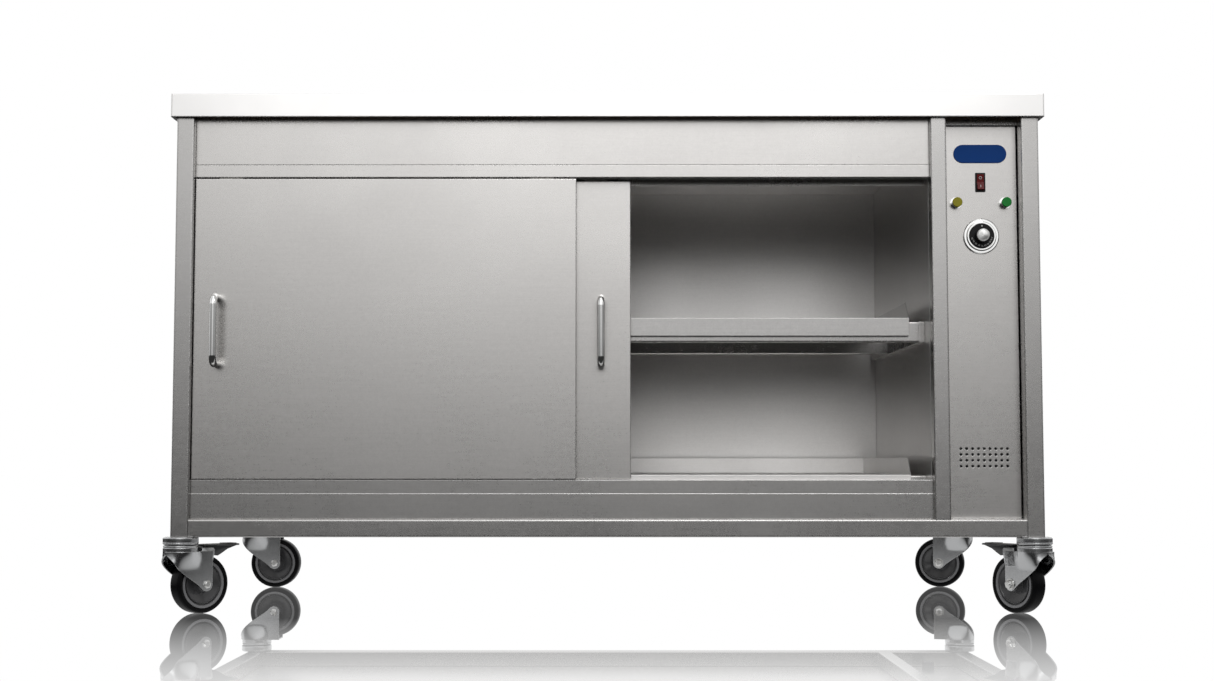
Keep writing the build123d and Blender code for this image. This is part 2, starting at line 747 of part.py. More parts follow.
with BuildPart() as rocker:
    with BuildSketch(rocker_plane):
        with BuildLine():
            Polyline(
                (-ROCKER_RISE, 0),
                (-ROCKER_RISE - lean, half_paddle),
                (0, half_paddle),
                (ROCKER_BELLY, 0),
                (0, -half_paddle),
                (-ROCKER_RISE - lean, -half_paddle),
                close=True,
            )
        make_face()
    extrude(amount=ROCKER_PADDLE[0])
    fillet(rocker.edges().group_by(Axis.Y)[0], PADDLE_GAP)
    with Locations((control_mid, pivot_y, rocker_z)):
        Cylinder(ROCKER_PIN, well_width + 2 * ROCKER_PIN_BITE, rotation=(0, 90, 0))
finish("rocker", rocker)

lens_foot = panel_y - LAMP_REACH + LAMP_LENS_THICK

with BuildPart() as lamp_bezels:
    for x, z in lamp_places:
        with BuildSketch(facing(x, z, panel_y)):
            Circle(LAMP_RIM / 2)
        extrude(amount=LAMP_RIM_THICK)
        with BuildSketch(facing(x, z, panel_y)):
            Circle(LAMP_BARREL / 2)
        extrude(amount=LAMP_REACH - LAMP_LENS_THICK)
        with BuildSketch(facing(x, z, panel_y)):
            Circle(LAMP_HOLE / 2)
        extrude(amount=-LAMP_TAIL)
finish("lamp_bezels", lamp_bezels)

for label, (x, z) in zip(("yellow_lens", "green_lens"), lamp_places):
    with BuildPart() as lens:
        with BuildSketch(facing(x, z, lens_foot)):
            Circle(LAMP_BARREL / 2)
        extrude(amount=LAMP_LENS_THICK)
        fillet(lens.edges().group_by(Axis.Y)[0], LAMP_LENS_THICK / 4)
    finish(label, lens)

dial_axis = facing(control_mid, dial_z, panel_y)
dial_foot = BEZEL_THICK + DIAL_CLEAR
grip_reach = DIAL_REACH - CAP_THICK


def ring_profile(points):
    """Close an outline given as (radius, distance ahead of the panel) and turn it about the dial."""
    with BuildSketch(Plane(dial_axis.origin, x_dir=(1, 0, 0), z_dir=(0, 0, 1))) as outline:
        with BuildLine():
            Polyline(*[(radius, -reach) for radius, reach in points], close=True)
        make_face()
    revolve(outline.sketch, axis=Axis(dial_axis.origin, (0, 1, 0)))


with BuildPart() as thermostat_bezel:
    ring_profile(
        [
            (SPINDLE, 0),
            (DIAL_BEZEL / 2, 0),
            (DIAL_BEZEL / 2, BEZEL_STEP),
            (DIAL_BEZEL / 2 - BEZEL_STEP, 2 * BEZEL_STEP),
            (DIAL_BEZEL / 2 - BEZEL_FLAT, 2 * BEZEL_STEP),
            (DIAL_BEZEL / 2 - BEZEL_FLAT - BEZEL_STEP, BEZEL_RIM),
            (DIAL_SKIRT / 2 + DIAL_CLEAR, BEZEL_RIM),
            (DIAL_SKIRT / 2 + DIAL_CLEAR, BEZEL_THICK),
            (SPINDLE, BEZEL_THICK),
        ]
    )
finish("thermostat_bezel", thermostat_bezel)

with BuildPart() as control_knob:
    ring_profile(
        [
            (SPINDLE / 2 + RUNNING, dial_foot),
            (DIAL_SKIRT / 2, dial_foot),
            (DIAL_SKIRT / 2, DIAL_STEP - SKIRT_EDGE),
            (DIAL_SKIRT / 2 - SKIRT_EDGE, DIAL_STEP),
            (DIAL_GRIP / 2, DIAL_STEP),
            (DIAL_GRIP / 2, grip_reach),
            (SPINDLE / 2 + RUNNING, grip_reach),
        ]
    )
    with BuildSketch(facing(control_mid, dial_z, panel_y - grip_reach)):
        with PolarLocations(DIAL_GRIP / 2, GRIP_GROOVES):
            Circle(GROOVE / 2)
    extrude(amount=DIAL_STEP - grip_reach, mode=Mode.SUBTRACT)
finish("control_knob", control_knob)

with BuildPart() as knob_cap:
    with BuildSketch(facing(control_mid, dial_z, panel_y - grip_reach)):
        Circle(DIAL_CAP / 2)
    extrude(amount=CAP_THICK)
    fillet(knob_cap.edges().group_by(Axis.Y)[0], CAP_THICK / 2)
finish("knob_cap", knob_cap)

with BuildPart() as thermostat_body:
    with BuildSketch(facing(control_mid, dial_z, panel_y + SHEET)):
        Circle(DIAL_GRIP)
    extrude(amount=-THERMOSTAT_DEPTH)
    with BuildSketch(facing(control_mid, dial_z, panel_y + SHEET)):
        Circle(SPINDLE / 2)
    extrude(amount=SHEET + grip_reach - DIAL_CLEAR)
finish("thermostat_body", thermostat_body)

with BuildPart() as terminal_block:
    terminal_y = rear_post_front - POST
    for count in range(TERMINALS):
        low = base_top + TERMINAL_RISE + count * TERMINAL_PITCH
        block(
            (control_x + WELD_GAP, control_x + TERMINAL_DEEP),
            (terminal_y - 2 * TERMINAL_DEEP, terminal_y),
            (low, low + TERMINAL_PITCH - TERMINAL_SPLIT),
        )
finish("terminal_block", terminal_block)

gland_y = rear_post_front - 2 * POST
with BuildPart() as cable_gland:
    with Locations((control_mid, gland_y, base_top)):
        Cylinder(GLAND_THREAD / 2, GLAND_RISE, align=(Align.CENTER, Align.CENTER, Align.MIN))
    with BuildSketch(Plane((control_mid, gland_y, base_top))):
        RegularPolygon(GLAND_NUT / 2, 6)
    extrude(amount=-GLAND_DROP)
    with BuildSketch(Plane((control_mid, gland_y, base_pan_top))):
        RegularPolygon(GLAND_NUT / 2, 6)
    extrude(amount=GLAND_LOCKNUT)
    with Locations((control_mid, gland_y, base_top - GLAND_DROP)):
        Cylinder(
            GLAND_BORE / 2,
            GLAND_RISE + GLAND_DROP,
            align=(Align.CENTER, Align.CENTER, Align.MIN),
            mode=Mode.SUBTRACT,
        )
finish("cable_gland", cable_gland)

# ---- Casters -------------------------------------------------------------------------------------

head_low = caster_height - HEAD_THICK
fork_top = head_low - SWIVEL_GAP
fork_plate = fork_top - FORK_TOP_THICK
axle_z = WHEEL / 2
rim = axle_z - TYRE_DEEP
stem_width = POST - 2 * TUBE_WALL - STEM_GAP
pedal_pin_z = fork_plate + PEDAL_PIN_RISE
pedal_top = fork_top - PEDAL_LOW
casters = {
    "front_left": (-caster_x, front_caster_y, FRONT_LEFT_HEADING),
    "front_right": (caster_x, front_caster_y, FRONT_RIGHT_HEADING),
    "rear_left": (-caster_x, rear_caster_y, REAR_LEFT_HEADING),
    "rear_right": (caster_x, rear_caster_y, REAR_RIGHT_HEADING),
}

with BuildPart() as caster_heads:
    for x, y, _ in casters.values():
        with BuildSketch(Plane((x, y, 0), x_dir=(1, 0, 0), z_dir=(0, -1, 0))):
            with BuildLine():
                Polyline(
                    (0, head_low),
                    (HEAD / 2 - HEAD_EDGE / 2, head_low),
                    (HEAD / 2, head_low + HEAD_EDGE / 2),
                    (HEAD / 2, caster_height - HEAD_EDGE),
                    (HEAD / 2 - HEAD_EDGE, caster_height),
                    (0, caster_height),
                    close=True,
                )
            make_face()
        revolve(axis=Axis((x, y, 0), (0, 0, 1)))
        with BuildSketch(Plane((x, y, caster_height))):
            RectangleRounded(stem_width, stem_width, TUBE_WALL)
        extrude(amount=STEM_REACH)
        with Locations((x, y, fork_plate - KINGPIN_HEAD)):
            Cylinder(
                KINGPIN / 2,
                head_low - fork_plate + KINGPIN_HEAD,
                align=(Align.CENTER, Align.CENTER, Align.MIN),
            )
        with Locations((x, y, fork_plate - SWIVEL_GAP / 2)):
            Cylinder(KINGPIN_NUT, KINGPIN_HEAD, align=(Align.CENTER, Align.CENTER, Align.MAX))
finish("caster_heads", caster_heads)


def fork_outline():
    """Draw a fork's side: x runs outward from the swivel axis and y is the height."""
    half = sin(radians(45)) * FORK_BOSS
    with BuildLine() as outline:
        Spline(
            (-HEAD / 2, fork_plate),
            (-HEAD / 2 + FORK_KNEE, fork_plate - 2 * FORK_KNEE),
            (TRAIL - half, axle_z - half),
            tangents=((0, -1), (1, -1)),
        )
        tip = CenterArc((TRAIL, axle_z), FORK_BOSS, -135, 135)
        Polyline(tip @ 1, (TRAIL + FORK_BOSS, fork_plate), (-HEAD / 2, fork_plate))
    make_face(outline.edges())


def caster(corner, x, y, heading, braked):
    """Build one caster's fork, hub and tyre, and its pedal if braked; the wheel trails at heading."""
    turned = Plane((x, y, 0)).rotated((0, 0, heading))
    out = turned.x_dir
    across = turned.y_dir
    middle = Plane(turned.origin, x_dir=out, z_dir=-across)
    axle_point = turned.origin + out * TRAIL + Vector(0, 0, axle_z)
    axle_plane = Plane(axle_point, x_dir=across, z_dir=out)
    wide = fork_wide

    def disc_across(radius, reach, centre, mode=Mode.ADD):
        """Add a disc of width reach across the caster, centred on (outward, height)."""
        with BuildSketch(middle) as disc:
            with Locations(centre):
                Circle(radius)
        extrude(disc.sketch, amount=reach / 2, both=True, mode=mode)

    def cheeks(face, low, high, mode=Mode.ADD):
        """Extrude a face to both sides, between two distances from the middle."""
        for facing_side in (-1, 1):
            started = face.moved(Location(across * (facing_side * low)))
            extrude(started, amount=-facing_side * (high - low), mode=mode)

    with BuildPart() as fork:
        with BuildSketch(middle):
            fork_outline()
        extrude(amount=wide / 2, both=True)
        with BuildSketch(middle):
            with Locations((TRAIL / 2, fork_plate)):
                Rectangle(2 * WHEEL, WHEEL, align=(Align.CENTER, Align.MAX))
        extrude(amount=FORK_INSIDE / 2, both=True, mode=Mode.SUBTRACT)
        if braked:
            with BuildSketch(middle, mode=Mode.PRIVATE) as ear:
                with BuildLine():
                    Polyline(
                        (TRAIL - FORK_BOSS, axle_z + FORK_BOSS),
                        (TRAIL + FORK_BOSS, axle_z + FORK_BOSS),
                        (PEDAL_PIN_OUT + PEDAL_PIN, pedal_pin_z),
                        (PEDAL_PIN_OUT, pedal_pin_z + PEDAL_PIN),
                        (TRAIL - FORK_BOSS, pedal_pin_z + PEDAL_PIN),
                        close=True,
                    )
                make_face()
            cheeks(ear.sketch, FORK_INSIDE / 2, wide / 2)
            disc_across(PEDAL_PIN / 2 + RUNNING, wide + 2, (PEDAL_PIN_OUT, pedal_pin_z), Mode.SUBTRACT)
        with Locations((x, y, fork_plate)):
            Cylinder(HEAD / 2, FORK_TOP_THICK, align=(Align.CENTER, Align.CENTER, Align.MIN))
            Cylinder(
                KINGPIN / 2 + RUNNING,
                FORK_TOP_THICK,
                align=(Align.CENTER, Align.CENTER, Align.MIN),
                mode=Mode.SUBTRACT,
            )
        disc_across(AXLE / 2 + RUNNING, wide + 2, (TRAIL, axle_z), Mode.SUBTRACT)
        disc_across(AXLE / 2, wide + 2 * RUNNING, (TRAIL, axle_z))
        with BuildSketch(middle, mode=Mode.PRIVATE) as bolt_head:
            with Locations((TRAIL, axle_z)):
                RegularPolygon(BOLT_ACROSS, 6)
        cheeks(bolt_head.sketch, wide / 2 + RUNNING, wide / 2 + RUNNING + BOLT_HEAD)
        disc_across(AXLE / 2, 2 * axle_reach, (TRAIL, axle_z))
        if braked:
            disc_across(PEDAL_PIN / 2, wide + PEDAL_PIN, (PEDAL_PIN_OUT, pedal_pin_z))
    finish(f"{corner}_fork", fork)

    with BuildPart() as hub:
        with BuildSketch(axle_plane):
            with BuildLine():
                Polyline(
                    (-FORK_INSIDE / 2 + HUB_GAP, AXLE / 2 + RUNNING),
                    (-FORK_INSIDE / 2 + HUB_GAP, HUB_BOSS),
                    (-HUB_WEB, HUB_BOSS + HUB_WEB),
                    (-HUB_WEB, rim - RIM_RING),
                    (-TREAD / 2 + RIM_BEVEL, rim - RIM_RING + RIM_BEVEL),
                    (-TREAD / 2 + RIM_BEVEL, rim),
                    (TREAD / 2 - RIM_BEVEL, rim),
                    (TREAD / 2 - RIM_BEVEL, rim - RIM_RING + RIM_BEVEL),
                    (HUB_WEB, rim - RIM_RING),
                    (HUB_WEB, HUB_BOSS + HUB_WEB),
                    (FORK_INSIDE / 2 - HUB_GAP, HUB_BOSS),
                    (FORK_INSIDE / 2 - HUB_GAP, AXLE / 2 + RUNNING),
                    close=True,
                )
            make_face()
        revolve(axis=Axis(axle_point, across))
    finish(f"{corner}_hub", hub)

    with BuildPart() as tyre:
        with BuildSketch(axle_plane):
            with BuildLine():
                Line((-TREAD / 2 + RIM_BEVEL, rim), (-TREAD / 2, rim + TYRE_BEAD))
                Line((-TREAD / 2, rim + TYRE_BEAD), (-TREAD / 2, axle_z - TREAD_EDGE))
                RadiusArc(
                    (-TREAD / 2, axle_z - TREAD_EDGE),
                    (-TREAD / 2 + TREAD_EDGE, axle_z),
                    TREAD_EDGE,
                )
                Line((-TREAD / 2 + TREAD_EDGE, axle_z), (TREAD / 2 - TREAD_EDGE, axle_z))
                RadiusArc(
                    (TREAD / 2 - TREAD_EDGE, axle_z),
                    (TREAD / 2, axle_z - TREAD_EDGE),
                    TREAD_EDGE,
                )
                Line((TREAD / 2, axle_z - TREAD_EDGE), (TREAD / 2, rim + TYRE_BEAD))
                Line((TREAD / 2, rim + TYRE_BEAD), (TREAD / 2 - RIM_BEVEL, rim))
                Line((TREAD / 2 - RIM_BEVEL, rim), (-TREAD / 2 + RIM_BEVEL, rim))
            make_face()
        revolve(axis=Axis(axle_point, across))
    finish(f"{corner}_tyre", tyre)

    if braked:
        plate_low = pedal_top - PEDAL_PLATE
        plate_start = HEAD / 2 + PEDAL_PIN
        lug_out = FORK_INSIDE / 2 - HUB_GAP
        with BuildPart() as pedal:
            with BuildSketch(Plane(turned.origin + Vector(0, 0, plate_low), x_dir=out)):
                with Locations(((plate_start + PEDAL_REACH) / 2, 0)):
                    RectangleRounded(PEDAL_REACH - plate_start, PEDAL_WIDTH, PEDAL_PIN)
            extrude(amount=PEDAL_PLATE)
            with BuildSketch(middle):
                with BuildLine():
                    Polyline(
                        (PEDAL_PIN_OUT - PEDAL_PIN, plate_low),
                        (PEDAL_PIN_OUT - PEDAL_PIN, pedal_pin_z - PEDAL_PIN / 2),
                        (PEDAL_PIN_OUT, pedal_pin_z - PEDAL_PIN),
                        (PEDAL_PIN_OUT + PEDAL_NOSE, pedal_pin_z - 2 * PEDAL_PIN),
                        (PEDAL_PIN_OUT + PEDAL_HEEL, plate_low),
                        close=True,
                    )
                make_face()
            extrude(amount=lug_out, both=True)
            disc_across(PEDAL_PIN / 2 + RUNNING, wide, (PEDAL_PIN_OUT, pedal_pin_z), Mode.SUBTRACT)
        finish(f"{corner}_brake_pedal", pedal)


for corner, (x, y, heading) in casters.items():
    caster(corner, x, y, heading, corner.startswith("front"))

# ---- Write every piece ---------------------------------------------------------------------------

os.makedirs("parts", exist_ok=True)
for label, piece in pieces.items():
    export_step(piece, f"parts/{label}.step")
print(len(pieces), "pieces")
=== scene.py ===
"""Looks of a mobile food holding cabinet: finishes, small fittings and a plain studio.

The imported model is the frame. Sizes here are in metres, in the frame's own axes: the doors face -Y,
+X is to the right of someone who faces them, and the floor is the plane z = 0.
"""

import json
import logging
import math
from dataclasses import dataclass
from enum import Enum
from functools import partial
from typing import Callable, Iterable, Sequence

import bmesh
import bpy
from mathutils import Matrix, Vector


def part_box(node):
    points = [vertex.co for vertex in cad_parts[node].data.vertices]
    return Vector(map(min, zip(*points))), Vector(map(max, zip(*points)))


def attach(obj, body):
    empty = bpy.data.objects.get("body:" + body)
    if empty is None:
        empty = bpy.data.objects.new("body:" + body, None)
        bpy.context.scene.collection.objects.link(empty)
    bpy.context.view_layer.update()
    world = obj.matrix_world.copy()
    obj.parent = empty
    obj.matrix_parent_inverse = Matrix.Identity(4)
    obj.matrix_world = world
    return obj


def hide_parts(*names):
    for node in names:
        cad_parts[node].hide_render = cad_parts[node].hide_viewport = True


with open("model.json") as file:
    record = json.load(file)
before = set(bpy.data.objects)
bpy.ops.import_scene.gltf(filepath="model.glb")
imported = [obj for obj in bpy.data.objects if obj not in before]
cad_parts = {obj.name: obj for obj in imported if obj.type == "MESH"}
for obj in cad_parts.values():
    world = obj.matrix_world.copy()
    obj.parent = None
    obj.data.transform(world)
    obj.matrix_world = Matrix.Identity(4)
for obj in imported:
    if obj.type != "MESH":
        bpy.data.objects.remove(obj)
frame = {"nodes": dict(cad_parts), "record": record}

LOG = logging.getLogger("cabinet")
MM = 0.001
Socket = bpy.types.NodeSocket
Colour = tuple[float, float, float]


# ---- Shader building -----------------------------------------------------------------------------


class Canvas:
    """Adds and links nodes in one shader tree."""

    def __init__(self, tree: bpy.types.NodeTree) -> None:
        """Keep the tree that the nodes go into."""
        self.tree = tree

    def add(self, kind: str, **settings: object) -> bpy.types.Node:
        """Add one node.

        Args:
            kind: The node's type name, without its ShaderNode prefix.
            settings: Attributes to set on the node.

        Returns:
            The new node.
        """
        node = self.tree.nodes.new("ShaderNode" + kind)
        for name, value in settings.items():
            setattr(node, name, value)
        return node

    def feed(self, node: bpy.types.Node, **inputs: object) -> bpy.types.Node:
        """Link sockets into, or set values on, a node's inputs.

        Args:
            node: The node to feed.
            inputs: Input names, with underscores for spaces, and a socket or a value for each.

        Returns:
            The same node.
        """
        for name, value in inputs.items():
            socket = node.inputs[name.replace("_", " ")]
            if isinstance(value, bpy.types.NodeSocket):
                self.tree.links.new(value, socket)
            else:
                socket.default_value = value
        return node

    def calc(self, operation: str, first: object, second: object = 0.0, clamp: bool = False) -> Socket:
        """Add a Math node.

        Args:
            operation: The node's operation.
            first: A socket or number.
            second: A socket or number.
            clamp: Whether the result stays between 0 and 1.

        Returns:
            The node's output.
        """
        node = self.add("Math", operation=operation, use_clamp=clamp)
        for socket, value in zip(node.inputs, (first, second)):
            if isinstance(value, bpy.types.NodeSocket):
                self.tree.links.new(value, socket)
            else:
                socket.default_value = value
        return node.outputs[0]

    def remap(self, value: Socket, low: float, high: float, to_low: float, to_high: float) -> Socket:
        """Map a value from one range to another, clamped.

        Args:
            value: The value to map.
            low: Start of its range.
            high: End of its range.
            to_low: Result at the start.
            to_high: Result at the end.

        Returns:
            The mapped value.
        """
        node = self.add("MapRange")
        self.feed(node, Value=value, From_Min=low, From_Max=high, To_Min=to_low, To_Max=to_high)
        return node.outputs["Result"]

    def blend(self, factor: object, first: object, second: object, mode: str = "MIX") -> Socket:
        """Mix two colours.

        Args:
            factor: Share of the second colour.
            first: A socket or an RGB colour.
            second: A socket or an RGB colour.
            mode: The mix node's blend type.

        Returns:
            The mixed colour.
        """
        node = self.add("Mix", data_type="RGBA", blend_type=mode)
        for socket, value in zip((node.inputs[0], node.inputs[6], node.inputs[7]), (factor, first, second)):
            if isinstance(value, bpy.types.NodeSocket):
                self.tree.links.new(value, socket)
            elif isinstance(value, tuple):
                socket.default_value = (*value, 1.0)
            else:
                socket.default_value = value
        return node.outputs[2]

    def noise(self, place: Socket, scale: float, detail: float = 3.0, rough: float = 0.5) -> Socket:
        """Add a noise texture.

        Args:
            place: Where it is read.
            scale: Its scale.
            detail: Its octaves.
            rough: How strong the fine octaves are.

        Returns:
            Its value.
        """
        node = self.add("TexNoise")
        self.feed(node, Vector=place, Scale=scale, Detail=detail, Roughness=rough)
        return node.outputs[0]


class Effect:
    """A shader node group that several finishes share."""

    def __init__(self, name: str, inputs: dict[str, object], outputs: dict[str, str]) -> None:
        """Make the group with its sockets.

        Args:
            name: The group's name.
            inputs: Input names with their default values; None makes a vector.
            outputs: Output names with their socket types.
        """
        self.tree = bpy.data.node_groups.new(name, "ShaderNodeTree")
        for label, value in inputs.items():
            kind = "NodeSocketVector" if value is None else "NodeSocketFloat"
            socket = self.tree.interface.new_socket(label, in_out="INPUT", socket_type=kind)
            if value is not None:
                socket.default_value = value
        for label, kind in outputs.items():
            self.tree.interface.new_socket(label, in_out="OUTPUT", socket_type=kind)
        self.canvas = Canvas(self.tree)
        self.given = self.tree.nodes.new("NodeGroupInput")
        self.result = self.tree.nodes.new("NodeGroupOutput")

    def place(self, canvas: Canvas, **inputs: object) -> bpy.types.Node:
        """Use the group in a material.

        Args:
            canvas: The material's canvas.
            inputs: Values and sockets for the group's inputs.

        Returns:
            The group's node.
        """
        node = canvas.add("Group", node_tree=self.tree)
        return canvas.feed(node, **inputs)


def grain_effect() -> Effect:
    """Build the mottled, faintly drawn grain of rolled stainless sheet.

    Returns:
        The effect, with a centred Value and a Height for bump.
    """
    effect = Effect(
        "sheet_grain",
        {"Place": None, "Fine": 420.0, "Coarse": 120.0, "Draw": 0.35},
        {"Value": "NodeSocketFloat", "Height": "NodeSocketFloat"},
    )
    canvas, given = effect.canvas, effect.given
    fine = canvas.add("TexNoise")
    place = given.outputs["Place"]
    canvas.feed(fine, Vector=place, Scale=given.outputs["Fine"], Detail=4.0, Roughness=0.62)
    coarse = canvas.add("TexNoise")
    canvas.feed(coarse, Vector=given.outputs["Place"], Scale=given.outputs["Coarse"], Detail=2.0)
    stretch = canvas.add("Mapping")
    canvas.feed(stretch, Vector=given.outputs["Place"], Scale=(0.03, 1.0, 1.0))
    drawn = canvas.add("TexNoise")
    canvas.feed(drawn, Vector=stretch.outputs[0], Scale=given.outputs["Fine"], Detail=3.0, Roughness=0.7)
    fine_part = canvas.calc("MULTIPLY", fine.outputs[0], 0.65)
    coarse_part = canvas.calc("MULTIPLY", coarse.outputs[0], 0.35)
    mottle = canvas.calc("ADD", fine_part, coarse_part)
    lines = canvas.calc("SUBTRACT", drawn.outputs[0], 0.5)
    centred = canvas.calc("SUBTRACT", mottle, 0.5)
    value = canvas.calc("ADD", centred, canvas.calc("MULTIPLY", lines, given.outputs["Draw"]))
    canvas.feed(effect.result, Value=value, Height=mottle)
    return effect


def wear_effect() -> Effect:
    """Build the painted highlight along edges and folds, broken up in patches.

    Returns:
        The effect, with a Mask that is 1 where an edge gets the painted highlight and a rounded Normal.
    """
    effect = Effect(
        "painted_edge_highlight",
        {"Place": None, "Width": 0.0012, "Break": 60.0},
        {"Mask": "NodeSocketFloat", "Normal": "NodeSocketVector"},
    )
    canvas, given = effect.canvas, effect.given
    rounded = canvas.add("Bevel", samples=4)
    canvas.feed(rounded, Radius=given.outputs["Width"])
    flat = canvas.add("NewGeometry")
    turn = canvas.add("VectorMath", operation="DOT_PRODUCT")
    canvas.tree.links.new(rounded.outputs[0], turn.inputs[0])
    canvas.tree.links.new(flat.outputs["Normal"], turn.inputs[1])
    # The edge mask marks where a painted highlight goes into the colour.
    edge = canvas.remap(turn.outputs["Value"], 0.995, 0.86, 0.0, 1.0)
    broken = canvas.add("TexNoise")
    canvas.feed(broken, Vector=given.outputs["Place"], Scale=given.outputs["Break"], Detail=3.0)
    patch = canvas.remap(broken.outputs[0], 0.3, 0.55, 0.35, 1.0)
    canvas.feed(effect.result, Mask=canvas.calc("MULTIPLY", edge, patch), Normal=rounded.outputs[0])
    return effect


def soil_effect() -> Effect:
    """Build soft cloudy marks of handling and wiping.

    Returns:
        The effect, with a Mask from 0, clean, to 1.
    """
    effect = Effect("wiped_marks", {"Place": None, "Size": 5.0}, {"Mask": "NodeSocketFloat"})
    canvas, given = effect.canvas, effect.given
    broad = canvas.add("TexNoise")
    place, size = given.outputs["Place"], given.outputs["Size"]
    canvas.feed(broad, Vector=place, Scale=size, Detail=5.0, Roughness=0.6)
    canvas.feed(effect.result, Mask=canvas.remap(broad.outputs[0], 0.38, 0.68, 0.0, 1.0))
    return effect


GRAIN = grain_effect()
# Painted highlight along edges and folds, shared by the finishes.
EDGE_HIGHLIGHT = wear_effect()
SOIL = soil_effect()


def new_material(name: str) -> tuple[bpy.types.Material, Canvas, bpy.types.Node, Socket]:
    """Start a material with one Principled shader.

    Args:
        name: The material's name.

    Returns:
        The material, its canvas, its shader and the Object coordinates.
    """
    material = bpy.data.materials.new(name)
    material.use_nodes = True
    material.node_tree.nodes.clear()
    canvas = Canvas(material.node_tree)
    shader = canvas.add("BsdfPrincipled")
    out = canvas.add("OutputMaterial")
    canvas.tree.links.new(shader.outputs[0], out.inputs["Surface"])
    place = canvas.add("TexCoord").outputs["Object"]
    return material, canvas, shader, place


def shade(colour: Colour, factor: float) -> Colour:
    """Scale a colour's brightness."""
    return tuple(min(1.0, channel * factor) for channel in colour)


@dataclass(frozen=True)
class SheetMetal:
    """A rolled, drawn or plated metal finish."""

    name: str
    tone: Colour = (0.62, 0.615, 0.605)
    roughness: float = 0.36
    mottle: float = 0.09
    gloss_swing: float = 0.06
    fine: float = 420.0
    coarse: float = 120.0
    draw: float = 0.35
    bump: float = 0.012
    # Width, then strength, of the painted highlight along edges and folds.
    edge: float = 0.0012
    rub: float = 0.6
    soil: float = 0.04

    def build(self) -> bpy.types.Material:
        """Build the finish's material."""
        material, canvas, shader, place = new_material(self.name)
        grain = GRAIN.place(canvas, Place=place, Fine=self.fine, Coarse=self.coarse, Draw=self.draw)
        edge_highlight_node = EDGE_HIGHLIGHT.place(canvas, Place=place, Width=self.edge, Break=60.0)
        soil = SOIL.place(canvas, Place=place, Size=4.0)
        swing = canvas.remap(grain.outputs["Value"], -0.3, 0.3, 0.0, 1.0)
        base = canvas.blend(swing, shade(self.tone, 1 - self.mottle), shade(self.tone, 1 + self.mottle))
        dirt = canvas.calc("MULTIPLY", soil.outputs["Mask"], self.soil)
        dulled = canvas.blend(dirt, base, shade(self.tone, 0.6))
        # Painted highlight: edges and folds are blended towards near-white.
        edge_highlight_mix = canvas.calc("MULTIPLY", edge_highlight_node.outputs["Mask"], self.rub)
        bright = canvas.blend(edge_highlight_mix, dulled, (0.93, 0.93, 0.92))
        half = self.gloss_swing / 2
        rough = canvas.remap(
            grain.outputs["Value"], -0.3, 0.3, self.roughness - half, self.roughness + half
        )
        smudged = canvas.calc("ADD", rough, dirt)
        relief = canvas.add("Bump")
        canvas.feed(
            relief,
            Strength=self.bump,
            Distance=0.001,
            Height=grain.outputs["Height"],
            Normal=edge_highlight_node.outputs["Normal"],
        )
        canvas.feed(shader, Base_Color=bright, Roughness=smudged, Normal=relief.outputs[0], Metallic=1.0)
        return material


@dataclass(frozen=True)
class Moulded:
    """A moulded plastic, rubber or enamel finish."""

    name: str
    colour: Colour
    roughness: float = 0.4
    speckle: float = 0.12
    grain: float = 900.0
    bump: float = 0.08
    # Width, then strength, of the painted highlight along edges.
    edge: float = 0.0006
    rub: float = 0.15
    coat: float = 0.0
    gleam: float = 1.5

    def build(self) -> bpy.types.Material:
        """Build the finish's material."""
        material, canvas, shader, place = new_material(self.name)
        edge_highlight_node = EDGE_HIGHLIGHT.place(canvas, Place=place, Width=self.edge, Break=200.0)
        soil = SOIL.place(canvas, Place=place, Size=25.0)
        texture = canvas.noise(place, self.grain, 3.0, 0.6)
        swing = canvas.remap(texture, 0.3, 0.7, 0.0, 1.0)
        darker, lighter = shade(self.colour, 1 - self.speckle), shade(self.colour, 1 + self.speckle)
        base = canvas.blend(swing, darker, lighter)
        # Painted highlight: edges are blended towards a paler copy of the colour.
        highlight_colour = tuple(0.5 * channel + 0.16 for channel in self.colour)
        edge_highlight_mix = canvas.blend(canvas.calc("MULTIPLY", edge_highlight_node.outputs["Mask"], self.rub), base, highlight_colour)
        rough = canvas.remap(soil.outputs["Mask"], 0.0, 1.0, self.roughness - 0.05, self.roughness + 0.07)
        relief = canvas.add("Bump")
        canvas.feed(
            relief,
            Strength=self.bump,
            Distance=0.0005,
            Height=texture,
            Normal=edge_highlight_node.outputs["Normal"],
        )
        canvas.feed(
            shader,
            Base_Color=edge_highlight_mix,
            Roughness=rough,
            Normal=relief.outputs[0],
            Coat_Weight=self.coat,
            IOR=self.gleam,
        )
        return material


@dataclass(frozen=True)
class Fibrous:
    """A wool or board finish for what is inside the walls."""

    name: str
    light: Colour
    dark: Colour
    stretch: tuple[float, float, float] = (1.0, 1.0, 1.0)
    scale: float = 160.0

    def build(self) -> bpy.types.Material:
        """Build the finish's material."""
        material, canvas, shader, place = new_material(self.name)
        mapping = canvas.add("Mapping")
        canvas.feed(mapping, Vector=place, Scale=self.stretch)
        strands = canvas.noise(mapping.outputs[0], self.scale, 6.0, 0.7)
        swing = canvas.remap(strands, 0.35, 0.65, 0.0, 1.0)
        relief = canvas.add("Bump")
        canvas.feed(relief, Strength=0.4, Distance=0.001, Height=strands)
        canvas.feed(
            shader,
            Base_Color=canvas.blend(swing, self.dark, self.light),
            Roughness=canvas.remap(strands, 0.3, 0.7, 0.85, 0.97),
            Normal=relief.outputs[0],
        )
        return material


